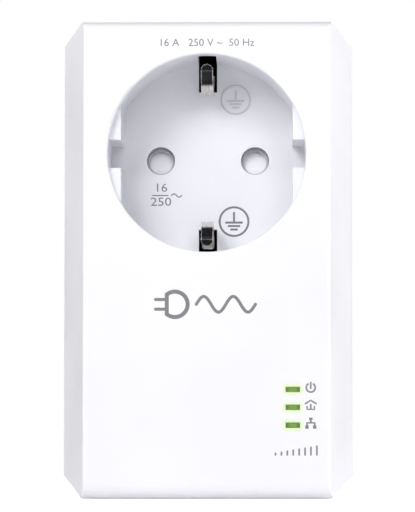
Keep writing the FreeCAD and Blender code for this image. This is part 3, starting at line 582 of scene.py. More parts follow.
@dataclass
class Marks:
    """Flat or raised marks on one side, drawn as strokes and characters and made one mesh."""

    name: str
    side: Side
    origin: Vector
    rise: float
    meshes: list = field(default_factory=list)

    def stroke(
        self, points: list[Point], width: float, closed: bool = False, round_ends: bool = True
    ) -> None:
        """Adds a line of even width.

        Args:
            points: the line's points in millimetres on the side's plane.
            width: the line's width in millimetres.
            closed: whether the last point joins the first.
            round_ends: whether an open line ends in half circles.
        """
        curve = bpy.data.curves.new(self.name, "CURVE")
        curve.dimensions = "3D"
        curve.bevel_depth = 1.0
        curve.bevel_resolution = 1
        curve.use_fill_caps = not closed
        spline = curve.splines.new("POLY")
        path = [(x, y, width / 2) for x, y in points]
        if round_ends and not closed:
            path = self._rounded(path)
        spline.points.add(len(path) - 1)
        for point, (x, y, radius) in zip(spline.points, path):
            point.co = (x, y, 0.0, 1.0)
            point.radius = radius
        spline.use_cyclic_u = closed
        self._keep(curve, Matrix.Diagonal((MM, MM, 2.0 * self.rise * MM / width, 1.0)))

    @staticmethod
    def _rounded(path: list) -> list:
        """Adds points that narrow a line to a half circle at both ends.

        Args:
            path: the line's points, each with the line's radius there.

        Returns:
            The same points with those of both ends added.
        """
        def cap(end: tuple, inner: tuple) -> list:
            """Gives the points past one end.

            Args:
                end: the line's last point.
                inner: the point before it.

            Returns:
                The points past the end, going outwards.
            """
            way = Vector((end[0] - inner[0], end[1] - inner[1])).normalized()
            steps = []
            for share in (0.5, 0.8, 0.96):
                reach = way * end[2] * share
                radius = end[2] * math.sqrt(1.0 - share * share)
                steps.append((end[0] + reach.x, end[1] + reach.y, radius))
            return steps
        return cap(path[0], path[1])[::-1] + path + cap(path[-1], path[-2])

    def ring(
        self, center: Point, radius: float, width: float, start: float = 0.0, sweep: float = 360.0
    ) -> None:
        """Adds a circle or an arc.

        Args:
            center: its middle in millimetres.
            radius: its radius in millimetres.
            width: the line's width in millimetres.
            start: where an arc starts, in degrees from the right, turning left.
            sweep: how far the arc turns, in degrees.
        """
        count = max(12, int(sweep / 7.5))
        closed = sweep >= 360.0
        steps = count if closed else count + 1
        turns = [math.radians(start + sweep * step / count) for step in range(steps)]
        points = [(center[0] + radius * math.cos(t), center[1] + radius * math.sin(t)) for t in turns]
        self.stroke(points, width, closed)

    def wave(self, start: Point, size: Point, width: float, periods: float, steps: int) -> None:
        """Adds a sine wave that runs to the right.

        Args:
            start: where it starts, in millimetres.
            size: its length and the height of a crest, in millimetres.
            width: the line's width in millimetres.
            periods: how many times it repeats.
            steps: how many straight pieces make it up.
        """
        length, crest = size
        points = []
        for step in range(steps + 1):
            lift = crest * math.sin(2.0 * periods * math.pi * step / steps)
            points.append((start[0] + length * step / steps, start[1] + lift))
        self.stroke(points, width)

    def earth(self, top: Point, stem: Point, bars: tuple, width: float, round_ends: bool) -> None:
        """Adds the stem and the bars of the earth sign.

        Args:
            top: the point that the drops below are measured from, in millimetres.
            stem: how far below it the stem starts and ends, in millimetres.
            bars: half the length of each bar and how far below the point it lies.
            width: the lines' width in millimetres.
            round_ends: whether the lines end in half circles.
        """
        x, z = top
        self.stroke([(x, z - stem[0]), (x, z - stem[1])], width, round_ends=round_ends)
        for half, drop in bars:
            self.stroke([(x - half, z - drop), (x + half, z - drop)], width, round_ends=round_ends)

    def text(self, words: str, center: Point, height: float, wide: float = 1.0) -> None:
        """Adds plain numerals or unit signs.

        Args:
            words: the characters.
            center: the middle of the line, in millimetres.
            height: the height of a capital in millimetres.
            wide: how much wider the characters are than the font's own.
        """
        font = bpy.data.curves.new(self.name, "FONT")
        font.body = words
        font.align_x = "CENTER"
        font.align_y = "CENTER"
        font.size = height / CAPITAL_SHARE
        font.resolution_u = 3
        font.extrude = 1.0
        place = Matrix.Translation((center[0] * MM, center[1] * MM, 0.0))
        self._keep(font, place @ Matrix.Diagonal((MM * wide, MM, self.rise * MM, 1.0)))

    def _keep(self, curve: bpy.types.Curve, place: Matrix) -> None:
        """Turns a curve into a mesh on the side's plane.

        Args:
            curve: the curve or the text, which is left unused.
            place: the matrix from the curve's units to metres on the plane.
        """
        mesh = Workshop.mesh_of(curve)
        mesh.transform(self.side.matrix(self.origin) @ place)
        self.meshes.append(mesh)

    def build(self) -> bpy.types.Object:
        """Joins what was drawn into one linked object."""
        return Workshop.join(self.name, self.meshes)


class Workshop:
    """Short calls that turn a bmesh into a piece and dress it."""

    @staticmethod
    def finish_mesh(shape: bmesh.types.BMesh, name: str, smooth: bool = True) -> bpy.types.Object:
        """Makes an object at the origin out of a bmesh.

        Args:
            shape: the bmesh, in metres, which is freed.
            name: the piece's name.
            smooth: whether faces are shaded smooth across soft edges.

        Returns:
            The linked object.
        """
        bmesh.ops.remove_doubles(shape, verts=shape.verts, dist=1e-7)
        bmesh.ops.recalc_face_normals(shape, faces=shape.faces)
        if smooth:
            for face in shape.faces:
                face.smooth = True
            for edge in shape.edges:
                if len(edge.link_faces) == 2 and edge.calc_face_angle(0.0) > math.radians(35):
                    edge.smooth = False
        mesh = bpy.data.meshes.new(name)
        shape.to_mesh(mesh)
        shape.free()
        piece = bpy.data.objects.new(name, mesh)
        bpy.context.scene.collection.objects.link(piece)
        return piece

    @staticmethod
    def prism(
        shape: bmesh.types.BMesh, outline: list[Point], depth: float, place: Matrix, bevel: float = 0.0
    ) -> None:
        """Adds a prism to a bmesh.

        Args:
            shape: the bmesh, in metres.
            outline: the prism's outline in millimetres.
            depth: how far the outline is drawn out along its own Z, in millimetres.
            place: the matrix, in metres, from the outline's own plane to the adapter.
            bevel: the width of the bevel along every edge, in millimetres.
        """
        first = [shape.verts.new((x * MM, y * MM, 0.0)) for x, y in outline]
        face = shape.faces.new(first)
        drawn = bmesh.ops.extrude_face_region(shape, geom=[face])["geom"]
        second = [item for item in drawn if isinstance(item, bmesh.types.BMVert)]
        bmesh.ops.translate(shape, verts=second, vec=(0.0, 0.0, depth * MM))
        bmesh.ops.transform(shape, verts=first + second, matrix=place)
        if bevel:
            edges = {edge for vert in first + second for edge in vert.link_edges}
            bmesh.ops.bevel(
                shape,
                geom=list(edges),
                offset=bevel * MM,
                offset_type="OFFSET",
                segments=2,
                profile=0.5,
                affect="EDGES",
                material=-1,
            )

    @staticmethod
    def wire(name: str, paths: list[list[Vector]], thickness: float) -> bpy.types.Object:
        """Makes round wires that follow smooth lines.

        Args:
            name: the piece's name.
            paths: each wire's points, in metres.
            thickness: the wire's diameter in millimetres.

        Returns:
            The linked object, a mesh.
        """
        curve = bpy.data.curves.new(name, "CURVE")
        curve.dimensions = "3D"
        curve.bevel_depth = thickness / 2 * MM
        curve.bevel_resolution = 2
        curve.resolution_u = 4
        curve.use_fill_caps = True
        for path in paths:
            spline = curve.splines.new("NURBS")
            spline.points.add(len(path) - 1)
            for point, spot in zip(spline.points, path):
                point.co = (*spot, 1.0)
            spline.order_u = 3
            spline.use_endpoint_u = True
        return Workshop.join(name, [Workshop.mesh_of(curve)])

    @staticmethod
    def mesh_of(curve: bpy.types.Curve) -> bpy.types.Mesh:
        """Turns a curve or a text into a mesh.

        Args:
            curve: the curve or the text, which is left unused.

        Returns:
            The mesh, in the curve's own units.
        """
        holder = bpy.data.objects.new(curve.name, curve)
        bpy.context.scene.collection.objects.link(holder)
        bpy.context.view_layer.update()
        mesh = bpy.data.meshes.new_from_object(holder)
        bpy.data.objects.remove(holder)
        return mesh

    @staticmethod
    def join(name: str, meshes: list) -> bpy.types.Object:
        """Joins meshes into one piece.

        Args:
            name: the piece's name.
            meshes: the meshes, which are removed.

        Returns:
            The linked object.
        """
        shape = bmesh.new()
        for mesh in meshes:
            shape.from_mesh(mesh)
            bpy.data.meshes.remove(mesh)
        return Workshop.finish_mesh(shape, name)

    @staticmethod
    def dress(piece: bpy.types.Object, finish: Finish, body: str, slot: str) -> bpy.types.Object:
        """Gives a new piece its finish and body.

        Args:
            piece: the new piece.
            finish: its finish.
            body: the CAD body that it rides on.
            slot: not used.

        Returns:
            The same piece.
        """
        piece.data.materials.clear()
        piece.data.materials.append(finish.material())
        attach(piece, body)
        LOG.info("%s rides on %s", piece.name, body)
        return piece


WINDOW_ROWS = ((16.9, -46.6), (16.9, -50.1), (16.9, -53.6))
WINDOWS = tuple((x * MM, z * MM, 1.375 * MM, 0.5 * MM) for x, z in WINDOW_ROWS)

FACE_WHITE = PaintedGlowFace("face_white_abs", (0.90, 0.895, 0.93), 0.34, windows=WINDOWS, tone=0.01)
SHELL_WHITE = Finish("shell_white_abs", (0.89, 0.885, 0.92), 0.42, tone=0.012, grain_depth=0.006)
WELL_WHITE = Finish("well_white_abs", (0.84, 0.845, 0.885), 0.40, tone=0.012)
SHUTTER_WHITE = Finish("shutter_white_abs", (0.86, 0.86, 0.91), 0.30, tone=0.015)
# darker grey that paints the shade of a groove on the shutter
GROOVE_SHADE = Finish("shutter_groove_shade_abs", (0.50, 0.50, 0.53), 0.45, tone=0.03, wear_and_highlight_share=0.1)
# the raised sign is greyer than the well: painted shade that makes its relief read
SIGN_SHADE = Finish("raised_sign_shade_abs", (0.63, 0.63, 0.66), 0.40, tone=0.02)
LABEL_SILVER = Finish(
    "silver_label_film", (0.62, 0.62, 0.63), 0.32, specular=0.7, tone=0.05, grain_scale=3000.0
)
# black finish that paints the shade inside the clip slots
SHADE_BLACK = Finish(
    "painted_shade_black", (0.002, 0.002, 0.002), 0.9, specular=0.0, tone=0.3, dust=0.0, wear_and_highlight_share=0.0
)
COPPER_WIRE = Metal("enamelled_copper_wire", (0.75, 0.34, 0.14), 0.25, coat=0.6, tone=0.08)
GUIDE_WHITE = Finish("guide_white_plastic", (0.78, 0.78, 0.78), 0.5)
LIT_GREEN = LitWindow("status_window_acrylic", (0.03, 0.06, 0.01), 0.22, windows=WINDOWS, tone=0.05)
INK_GREY = Finish(
    "print_grey_ink", (0.20, 0.195, 0.21), 0.55, tone=0.12, grain_depth=0.002, dust=0.0, wear_and_highlight_share=0.0
)
NICKEL_STRIP = Metal(
    "nickel_spring_strip", (0.66, 0.64, 0.60), 0.20, stretch=(6000.0, 300.0, 300.0), tone=0.06
)
NICKEL_PIN = Metal(
    "nickel_plated_pin", (0.72, 0.70, 0.66), 0.22, stretch=(5000.0, 300.0, 5000.0), tone=0.05
)
CLIP_STRIP = SpringClip(
    "nickel_clip_strip", (0.64, 0.61, 0.59), 0.24, stretch=(6000.0, 300.0, 300.0), tone=0.06
)
BRONZE_STRIP = Metal("phosphor_bronze_strip", (0.72, 0.52, 0.32), 0.30, tone=0.08)
TIN_SHEET = Metal("tinned_sheet", (0.70, 0.70, 0.69), 0.33, tone=0.06)
SPRING_WIRE = Metal("drawn_spring_wire", (0.60, 0.60, 0.60), 0.28, tone=0.07)
GOLD_WIRE = Metal("gold_flashed_wire", (0.90, 0.66, 0.26), 0.22, tone=0.05)
ZINC_STEEL = Metal("zinc_plated_steel", (0.55, 0.57, 0.60), 0.34, tone=0.10)
PLAIN_ALUMINIUM = Metal("plain_aluminium", (0.68, 0.69, 0.70), 0.38, tone=0.06)
MASK_GREEN = CircuitBoard("solder_mask_green", (0.01, 0.10, 0.035), 0.3, coat=0.4, tone=0.08)
BLACK_NYLON = Finish(
    "black_nylon", (0.022, 0.022, 0.024), 0.45, tone=0.15, wear_and_highlight_color=(0.12, 0.12, 0.12)
)
BLACK_EPOXY = Finish(
    "black_epoxy_package", (0.028, 0.028, 0.03), 0.55, tone=0.2, wear_and_highlight_color=(0.1, 0.1, 0.1)
)
FERRITE = Finish(
    "grey_ferrite", (0.05, 0.05, 0.053), 0.6, tone=0.2, grain_depth=0.02, wear_and_highlight_color=(0.2, 0.2, 0.2)
)
RING_GREEN = Finish("coated_ferrite_ring", (0.03, 0.13, 0.07), 0.4, tone=0.1)
TAPE_YELLOW = Banded("winding_tape", (0.80, 0.60, 0.06), 0.3, band=(0.5, 0.34, 0.03))
FILM_YELLOW = Finish("film_capacitor_case", (0.80, 0.55, 0.03), 0.35, tone=0.04)
DISC_BLUE = Finish("blue_ceramic_coat", (0.02, 0.12, 0.42), 0.35, tone=0.12, grain_depth=0.02)
SLEEVE_BLACK = Banded(
    "capacitor_sleeve", (0.02, 0.022, 0.035), 0.3, band=(0.06, 0.06, 0.09), band_scale=120.0
)
LED_EPOXY = Finish("clear_green_epoxy", (0.55, 0.70, 0.35), 0.15, coat=0.5)
FLOOR_PAPER = Finish(
    "floor_paper", (0.84, 0.84, 0.85), 0.9, tone=0.004, dust=0.0, wear_and_highlight_share=0.0, specular=0.1
)
PVC_BROWN = Finish("brown_pvc", (0.07, 0.025, 0.01), 0.4, tone=0.08)
PVC_BLUE = Finish("blue_pvc", (0.01, 0.04, 0.25), 0.4, tone=0.08)

NODE_FINISHES: dict[str, Finish] = {
    "front_shell": FACE_WHITE,
    "rear_shell": SHELL_WHITE,
    "socket_well": WELL_WHITE,
    "shutter": SHUTTER_WHITE,
    "shutter_guide": GUIDE_WHITE,
    "shutter_spring": SPRING_WIRE,
    "earth_clip_top": CLIP_STRIP,
    "earth_clip_bottom": CLIP_STRIP,
    "line_contact": BRONZE_STRIP,
    "neutral_contact": BRONZE_STRIP,
    "contact_carrier": BLACK_NYLON,
    "line_pin": NICKEL_PIN,
    "neutral_pin": NICKEL_PIN,
    "plug_earth_top": NICKEL_STRIP,
    "plug_earth_bottom": NICKEL_STRIP,
    "earth_pin_socket": NICKEL_STRIP,
    "earth_strap": NICKEL_STRIP,
    "main_board": MASK_GREEN,
    "jack_shield": TIN_SHEET,
    "jack_insert": BLACK_NYLON,
    "jack_contacts": GOLD_WIRE,
    "transformer_core": FERRITE,
    "transformer_winding": TAPE_YELLOW,
    "safety_capacitor": FILM_YELLOW,
    "bulk_capacitor": SLEEVE_BLACK,
    "output_capacitor": SLEEVE_BLACK,
    "choke_core": RING_GREEN,
    "choke_base": BLACK_NYLON,
    "varistor": DISC_BLUE,
    "mains_fuse": BLACK_NYLON,
    "line_capacitors": DISC_BLUE,
    "powerline_chip": BLACK_EPOXY,
    "chip_heatsink": PLAIN_ALUMINIUM,
    "crystal": TIN_SHEET,
    "memory_chip": BLACK_EPOXY,
    "network_transformer": BLACK_EPOXY,
    "coupling_transformer": BLACK_NYLON,
    "status_leds": LED_EPOXY,
    "light_pipe": LIT_GREEN,
    "line_lead": PVC_BROWN,
    "neutral_lead": PVC_BLUE,
    "switch_body": BLACK_NYLON,
    "switch_plunger": BLACK_NYLON,
    "pair_button": SHELL_WHITE,
    "case_screws": ZINC_STEEL,
    "board_screws": ZINC_STEEL,
}


@dataclass
class Casework:
    """The CAD nodes that stay, each with its own finish."""

    finishes: dict[str, Finish]

    def build(self) -> None:
        """Assigns a finish to every CAD node."""
        for node, finish in self.finishes.items():
            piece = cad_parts[node]
            piece.data.materials.clear()
            piece.data.materials.append(finish.material())
            LOG.info("%s has finish %s", node, finish.name)


@dataclass
class FacePrint:
    """The grey print on the front: status signs, a plug and wave sign, a rating and a level scale."""

    line: float = 0.34
    sign_x: float = 20.42
    sign_rows: tuple[float, float, float] = (-46.2, -49.7, -53.2)
    sign_box: float = 0.68
    rating_z: float = 21.75
    rating_height: float = 1.45
    badge_z: float = -29.9
    plug_line: float = 0.8
    wave_line: float = 0.62
    scale_z: float = -58.55
    scale_ends: Point = (13.5, 21.6)
    scale_bars: int = 8

    def build(self) -> None:
        """Draws and dresses the marks on the front shell."""
        front = Vector((0.0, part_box("front_shell")[0].y, 0.0))
        for draw in (self._status_signs, self._badge, self._rating, self._level_scale):
            marks = Marks(draw.__name__.strip("_"), Side.FRONT, front, PRINT_RISE)
            draw(marks)
            Workshop.dress(marks.build(), INK_GREY, "housing", "front_shell")

    def _status_signs(self, marks: Marks) -> None:
        """Draws the signs for power, home network and wired network.

        Args:
            marks: the marks that they are added to.
        """
        x, (power, home, wired) = self.sign_x, self.sign_rows
        marks.ring((x, power - 0.05), 0.88, self.line, start=128.0, sweep=284.0)
        marks.stroke([(x, power - 0.15), (x, power + 0.95)], self.line)

        eaves, wall, top, sill = 1.05, 0.72, home - 0.28, home - 0.8
        marks.stroke([(x - eaves, home + 0.32), (x, home + 0.95), (x + eaves, home + 0.32)], self.line)
        marks.stroke([(x - wall, top), (x - wall, sill), (x + wall, sill), (x + wall, top)], self.line)
        marks.stroke([(x, sill), (x, home + 0.15)], self.line)

        branch, fork, leaf = 0.75, wired + 0.05, wired - 0.4
        marks.stroke([(x, wired + 1.1), (x, wired + 0.6)], self.sign_box, round_ends=False)
        marks.stroke([(x, wired + 0.6), (x, fork)], self.line, round_ends=False)
        tree = [(x - branch, leaf), (x - branch, fork), (x + branch, fork), (x + branch, leaf)]
        marks.stroke(tree, 0.4)
        for shift in (-branch, branch):
            box = [(x + shift, wired - 0.45), (x + shift, wired - 1.1)]
            marks.stroke(box, self.sign_box, round_ends=False)

    def _badge(self, marks: Marks) -> None:
        """Draws a plain plug outline beside two periods of a wave.

        Args:
            marks: the marks that they are added to.
        """
        z = self.badge_z
        marks.ring((-6.2, z), 2.5, self.plug_line, start=-130.0, sweep=260.0)
        marks.stroke([(-7.8, z + 1.95), (-7.8, z - 1.95)], self.plug_line)
        for shift in (-0.95, 0.95):
            marks.stroke([(-8.0, z + shift), (-10.0, z + shift)], self.wave_line)
        marks.wave((-2.0, z), (11.6, 1.55), self.wave_line, periods=2.0, steps=48)

    def _rating(self, marks: Marks) -> None:
        """Writes the common rating of the socket in plain numerals and unit signs."""
        marks.text("16 A   250 V ~  50 Hz", (0.0, self.rating_z), self.rating_height)

    def _level_scale(self, marks: Marks) -> None:
        """Draws a row of rising bars.

        Args:
            marks: the marks that they are added to.
        """
        (left, right), last = self.scale_ends, self.scale_bars - 1
        foot = self.scale_z - 0.85
        for step in range(self.scale_bars):
            x = left + (right - left) * step / last
            head = self.scale_z - 0.55 + 1.4 * step / last
            marks.stroke([(x, foot), (x, head)], self.line)


@dataclass
class SocketMarks:
    """The earth signs and numerals on the floor of the socket recess."""

    floor: float = -41.5
    raised: float = 0.3
    radius: float = 2.9
    upper: Point = (5.6, 12.4)
    lower: Point = (5.25, -12.3)
    stem: Point = (-1.95, 0.1)
    bars: tuple[Point, Point, Point] = ((1.75, 0.2), (1.25, 0.9), (0.75, 1.6))
    numeral_x: float = -9.5
    numeral_height: float = 1.66
    numerals: tuple = (("16", -5.5, 1.12), ("250", -8.35, 1.2))
    ruler_z: float = -7.0

    def build(self) -> None:
        """Draws the raised sign, the printed sign and the numerals."""
        floor = Vector((0.0, self.floor * MM, 0.0))
        rows = (
            # the raised sign's grey is painted shade for its relief
            ("raised_earth_sign", self.raised, self.upper, 0.36, SIGN_SHADE),
            ("printed_earth_sign", PRINT_RISE, self.lower, 0.42, INK_GREY),
        )
        for name, rise, center, width, finish in rows:
            sign = Marks(name, Side.FRONT, floor, rise)
            sign.ring(center, self.radius, width)
            sign.earth(center, self.stem, self.bars, width, round_ends=False)
            Workshop.dress(sign.build(), finish, "housing", "socket_well")
        marks = Marks("socket_numerals", Side.FRONT, floor, PRINT_RISE)
        for words, z, wide in self.numerals:
            marks.text(words, (self.numeral_x, z), self.numeral_height, wide=wide)
        marks.stroke([(-11.2, self.ruler_z), (-8.1, self.ruler_z)], 0.22)
        marks.wave((-7.4, self.ruler_z), (2.1, 0.32), 0.24, periods=1.0, steps=20)
        Workshop.dress(marks.build(), INK_GREY, "housing", "socket_well")


@dataclass
class ShutterShadeRings:
    """A darker ring round the pad that each pin pushes on, painted shade standing for a moulded groove."""

    rise: float = 0.08
    radius: float = 2.52
    width: float = 0.42
    holes: Point = (-9.5, 9.5)
    pad_z: float = -0.15

    def build(self) -> None:
        """Draws a ring of painted shade on the shutter behind each pin hole."""
        face = Vector((0.0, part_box("shutter")[0].y, 0.0))
        rings = Marks("shutter_shade_rings", Side.FRONT, face, self.rise)
        for x in self.holes:
            rings.ring((x, self.pad_z), self.radius, self.width)
        Workshop.dress(rings.build(), GROOVE_SHADE, "shutter", "shutter")


@dataclass
class SlotShadeSheets:
    """Black sheets behind the two clip slots that paint the shade inside them, each notched for its clip.
    """

    half: float = 3.2
    notch: float = 1.35
    inner: float = 13.9
    notch_end: float = 17.6
    outer: float = 22.4
    behind: float = -38.0
    sheet: float = 0.25
    bevel: float = 0.04

    def build(self) -> None:
        """Cuts one shade sheet above the recess and one below it."""
        for name, way in (("slot_shade_sheet_top", 1.0), ("slot_shade_sheet_bottom", -1.0)):
            right = [(self.half, self.inner), (self.notch, self.inner), (self.notch, self.notch_end)]
            left = [(-x, z) for x, z in reversed(right)]
            outline = right + left + [(-self.half, self.outer), (self.half, self.outer)]
            shape = bmesh.new()
            place = Side.FRONT.matrix(Vector((0.0, self.behind * MM, 0.0)))
            Workshop.prism(shape, [(x, way * z) for x, z in outline], self.sheet, place, self.bevel)
            shade_sheet = Workshop.finish_mesh(shape, name)
            Workshop.dress(shade_sheet, SHADE_BLACK, "housing", "contact_carrier")


@dataclass
class RearLabel:
    """A film label on the back with a plain rating, the earth sign and ruled lines."""

    center: Point = (0.0, -39.5)
    size: Point = (34.0, 22.0)
    corner: float = 1.6
    film: float = 0.06
    level: float = -17.0
    rating_height: float = 1.7
    sign_x: float = 13.0
    sign_radius: float = 1.7
    sign_line: float = 0.25
    stem: Point = (2.2, 3.5)
    bars: tuple[Point, Point, Point] = ((1.0, 3.55), (0.7, 4.0), (0.4, 4.45))
    margin: float = 2.5
    first_row: float = 8.2
    row_pitch: float = 3.6
    row_line: float = 0.18
    rows: int = 4

    def build(self) -> None:
        """Cuts the film and prints on it."""
        back = self.level * MM
        shape = bmesh.new()
        place = Side.BACK.matrix(Vector((0.0, back, 0.0)))
        Workshop.prism(shape, self._outline(), self.film, place)
        film = Workshop.finish_mesh(shape, "rear_label")
        Workshop.dress(film, LABEL_SILVER, "housing", "rear_shell")
        surface = Vector((0.0, back + self.film * MM, 0.0))
        marks = Marks("rear_label_print", Side.BACK, surface, PRINT_RISE)
        self._print(marks)
        Workshop.dress(marks.build(), INK_GREY, "housing", "rear_shell")

    def _outline(self) -> list[Point]:
        """Gives the film's outline with its round corners.

        Returns:
            The outline's points in millimetres.
        """
        (x, z), (width, height) = self.center, self.size
        along, up = width / 2 - self.corner, height / 2 - self.corner
        points = []
        for turn, (right, above) in enumerate(((1, 1), (-1, 1), (-1, -1), (1, -1))):
            for step in range(7):
                angle = math.radians(90 * turn + 15 * step)
                reach = self.corner * math.cos(angle), self.corner * math.sin(angle)
                points.append((x + right * along + reach[0], z + above * up + reach[1]))
        return points

    def _print(self, marks: Marks) -> None:
        """Draws the rating, the earth sign and the ruled lines.

        Args:
            marks: the marks that they are added to.
        """
        (x, z), (width, height) = self.center, self.size
        top, sign_x = z + height / 2, x + self.sign_x
        marks.text("16 A   250 V ~   50 Hz", (x - 2.5, top - 3.2), self.rating_height)
        marks.ring((sign_x, top - 3.4), self.sign_radius, self.sign_line)
        marks.earth((sign_x, top), self.stem, self.bars, self.sign_line, round_ends=True)
        ends = x - width / 2 + self.margin, x + width / 2 - self.margin
        for row in range(self.rows):
            level = top - self.first_row - self.row_pitch * row
            marks.stroke([(ends[0], level), (ends[1], level)], self.row_line)


@dataclass
class FootSigns:
    """The signs on the bottom: linked arcs on the pairing button and a network tree at the port."""

    rise: float = 0.03
    tree_rise: float = 0.009
    line: float = 0.26
    dot: Point = (0.35, 0.4)
    arcs: Point = (1.0, 1.65)
    tree: Point = (-8.0, 21.3)
    box: float = 0.9

    def build(self) -> None:
        """Draws both signs."""
        low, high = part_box("pair_button")
        pair = Marks("pair_sign", Side.BOTTOM, Vector((0.0, 0.0, low.z)), self.rise)
        center = (low.x + high.x) / 2 / MM, -(low.y + high.y) / 2 / MM
        pair.ring(center, *self.dot)
        for start in (-50.0, 130.0):
            for radius in self.arcs:
                pair.ring(center, radius, self.line, start=start, sweep=100.0)
        Workshop.dress(pair.build(), INK_GREY, "button", "pair_button")

        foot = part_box("rear_shell")[0].z
        tree = Marks("port_sign", Side.BOTTOM, Vector((0.0, 0.0, foot)), self.tree_rise)
        x, y = self.tree
        tree.stroke([(x, y + 1.3), (x, y + 0.7)], self.box, round_ends=False)
        tree.stroke([(x, y + 0.7), (x, y)], self.line)
        for side in (-1.3, 1.3):
            tree.stroke([(x, y), (x + side, y), (x + side, y - 0.6)], self.line)
            tree.stroke([(x + side, y - 0.6), (x + side, y - 1.3)], self.box, round_ends=False)
        Workshop.dress(tree.build(), INK_GREY, "housing", "rear_shell")


@dataclass
class BoardDetail:
    """The legs of the two chips and the two windings of the choke."""

    leg_width: float = 0.38
    leg_reach: float = 0.62
    leg_pitch: float = 1.0
    leg_sheet: float = 0.16
    leg_margin: float = 0.4
    core_hole: float = 3.0
    wire: float = 0.5
    turns: int = 9
    arcs: tuple[Point, Point] = ((28.0, 152.0), (208.0, 332.0))

    def build(self) -> None:
        """Builds the legs and the windings."""
        for node in ("powerline_chip", "memory_chip"):
            self._legs(node)
        self._windings()

    def _legs(self, node: str) -> None:
        """Bends a row of flat legs out of the upper and the lower side of a chip.

        Args:
            node: the chip's node.
        """
        low, high = (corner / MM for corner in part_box(node))
        board, middle, half = high.y, (low.y + high.y) / 2, self.leg_sheet / 2
        count = int((high.x - low.x - self.leg_margin) / self.leg_pitch)
        bend = (
            (middle - half, 0.0),
            (middle - half, 0.28),
            (board - self.leg_sheet, 0.36),
            (board - self.leg_sheet, self.leg_reach),
            (board, self.leg_reach),
            (board, 0.24),
            (middle + half, 0.16),
            (middle + half, 0.0),
        )
        shape = bmesh.new()
        for way, edge in ((1.0, high.z), (-1.0, low.z)):
            outline = [(y, edge + way * z) for y, z in bend]
            for leg in range(count):
                shift = (leg - (count - 1) / 2) * self.leg_pitch
                x = (low.x + high.x) / 2 + shift - self.leg_width / 2
                place = Side.RIGHT.matrix(Vector((x * MM, 0.0, 0.0)))
                Workshop.prism(shape, outline, self.leg_width, place)
        legs = Workshop.finish_mesh(shape, f"{node}_legs", smooth=False)
        Workshop.dress(legs, TIN_SHEET, "housing", "crystal")

    def _windings(self) -> None:
        """Winds enamelled wire round the upper and the lower half of the choke's ring."""
        low, high = (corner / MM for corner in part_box("choke_core"))
        middle = (low + high) / 2
        gap = self.wire / 2 + 0.02
        outer, inner = (high.x - low.x) / 2 + gap, self.core_hole - gap
        front, back = low.y - gap, high.y + gap
        corners = ((outer, front), (outer, back), (inner, back), (inner, front))
        paths = []
        for start, end in self.arcs:
            path = []
            for step in range(self.turns * 4):
                radius, depth = corners[step % 4]
                next_radius, next_depth = corners[(step + 1) % 4]
                for share in (0.12, 0.88):
                    angle = math.radians(start + (end - start) * (step + share) / (self.turns * 4))
                    reach = radius + (next_radius - radius) * share
                    x = middle.x + reach * math.cos(angle)
                    y = depth + (next_depth - depth) * share
                    z = middle.z + reach * math.sin(angle)
                    path.append(Vector((x * MM, y * MM, z * MM)))
            paths.append(path)
        windings = Workshop.wire("choke_windings", paths, self.wire)
        Workshop.dress(windings, COPPER_WIRE, "housing", "choke_core")


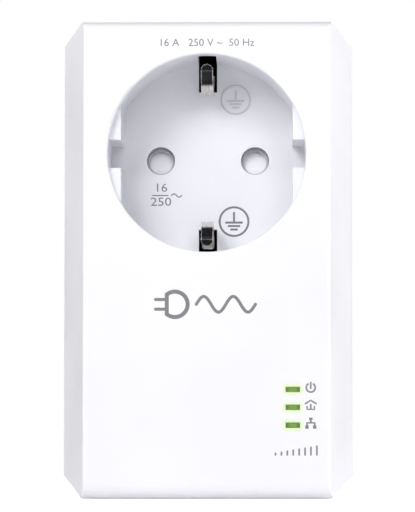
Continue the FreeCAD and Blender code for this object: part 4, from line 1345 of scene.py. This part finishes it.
@dataclass
class Studio:
    """The camera, the soft light, the pale floor and the backdrop."""

    eye: Triple = (11.5, -714.0, -63.6)
    target: Triple = (0.2, -59.0, -20.4)
    lens: float = 235.0
    floor_drop: float = 0.15
    floor_lift: float = 0.30
    floor_fade: Point = (0.045, 0.16)
    table_glow: float = 0.11
    room_left: Color = (0.13, 0.13, 0.135)
    room_right: Color = (0.18, 0.18, 0.185)
    room_ends: Point = (-0.9, 0.5)

    def build(self) -> None:
        """Builds the studio round the adapter."""
        self._camera()
        self._world()
        self._lights()
        self._floor()
        settings = bpy.context.scene.view_settings
        settings.view_transform = "Standard"
        settings.look = "None"

    def _camera(self) -> None:
        """Sets a long lens a little right of the middle and level with the foot."""
        data = bpy.data.cameras.new("studio_camera")
        data.lens = self.lens
        data.clip_start = 0.01
        data.clip_end = 20.0
        camera = bpy.data.objects.new("studio_camera", data)
        eye, target = Vector(self.eye) * MM, Vector(self.target) * MM
        turn = (target - eye).to_track_quat("-Z", "Y").to_matrix().to_4x4()
        camera.matrix_world = Matrix.Translation(eye) @ turn
        bpy.context.scene.collection.objects.link(camera)
        bpy.context.scene.camera = camera

    def _world(self) -> None:
        """A white room that is a little darker on the left."""
        world = bpy.data.worlds.new("studio_world")
        bpy.context.scene.world = world
        world.use_nodes = True
        world.node_tree.nodes.clear()
        graph = Graph(world.node_tree)
        way = graph.add("ShaderNodeSeparateXYZ", {0: graph.add("ShaderNodeTexCoord").outputs["Generated"]})
        share = graph.remap(way.outputs["X"], *self.room_ends, 0.0, 1.0)
        room = graph.mix(share, (*self.room_left, 1.0), (*self.room_right, 1.0))
        seen = graph.add("ShaderNodeLightPath").outputs["Is Camera Ray"]
        color = graph.mix(seen, room, (1.0, 1.0, 1.0, 1.0))
        background = graph.add("ShaderNodeBackground", {"Color": color, "Strength": 1.0})
        output = graph.add("ShaderNodeOutputWorld")
        graph.tree.links.new(background.outputs[0], output.inputs["Surface"])

    def _lights(self) -> None:
        """A large key above, a fill from the right and a weak one from the left."""
        rows = (
            ("key", (-290.0, -720.0, 360.0), 330.0, 3.3),
            ("front", (250.0, -950.0, 420.0), 360.0, 1.9),
            ("top", (0.0, -450.0, 650.0), 350.0, 0.5),
            ("right", (800.0, 0.0, 60.0), 500.0, 4.9),
            ("left", (-800.0, 0.0, 60.0), 500.0, 1.8),
            ("back_right", (520.0, 900.0, 420.0), 400.0, 2.4),
            ("back_left", (-520.0, 900.0, 420.0), 400.0, 2.0),
        )
        for name, place, size, power in rows:
            data = bpy.data.lights.new(name, "AREA")
            data.size = size * MM
            data.energy = power
            lamp = bpy.data.objects.new(name, data)
            spot = Vector(place) * MM
            aim = (Vector(self.target) * MM - spot).to_track_quat("-Z", "Y").to_matrix().to_4x4()
            lamp.matrix_world = Matrix.Translation(spot) @ aim
            bpy.context.scene.collection.objects.link(lamp)

    def _floor(self) -> None:
        """A wide pale floor just under the adapter."""
        shape = bmesh.new()
        bmesh.ops.create_grid(shape, x_segments=8, y_segments=8, size=3.0)
        level = CAD_BOX[0][2] - self.floor_drop * MM
        bmesh.ops.translate(shape, verts=shape.verts, vec=(0.0, 0.0, level))
        floor = Workshop.finish_mesh(shape, "studio_floor", smooth=False)
        if floor.data.polygons[0].normal.z < 0.0:
            floor.data.flip_normals()
        paper = FLOOR_PAPER.material()
        graph = Graph(paper.node_tree)
        shader = next(node for node in paper.node_tree.nodes if node.type == "BSDF_PRINCIPLED")
        away = graph.add("ShaderNodeVectorMath", {0: graph.place()}, operation="LENGTH")
        lift = graph.remap(away.outputs["Value"], *self.floor_fade, self.floor_lift, 1.0)
        seen = graph.add("ShaderNodeLightPath").outputs["Is Camera Ray"]
        table = graph.math("MAXIMUM", graph.math("MULTIPLY", lift, seen), self.table_glow)
        glow = graph.add("ShaderNodeCombineColor", {number: table for number in range(3)})
        graph.tree.links.new(glow.outputs[0], shader.inputs["Emission Color"])
        shader.inputs["Emission Strength"].default_value = 1.0
        above = graph.math("SUBTRACT", 1.0, graph.add("ShaderNodeNewGeometry").outputs["Backfacing"])
        graph.tree.links.new(above, shader.inputs["Alpha"])
        floor.data.materials.append(paper)


def main() -> None:
    """Builds every class in order and reports it."""
    logging.basicConfig(level=logging.INFO, format="%(name)s: %(message)s")
    Casework(NODE_FINISHES).build()
    FacePrint().build()
    SocketMarks().build()
    ShutterShadeRings().build()
    SlotShadeSheets().build()
    RearLabel().build()
    FootSigns().build()
    BoardDetail().build()
    Studio().build()


if __name__ == "__main__":
    main()
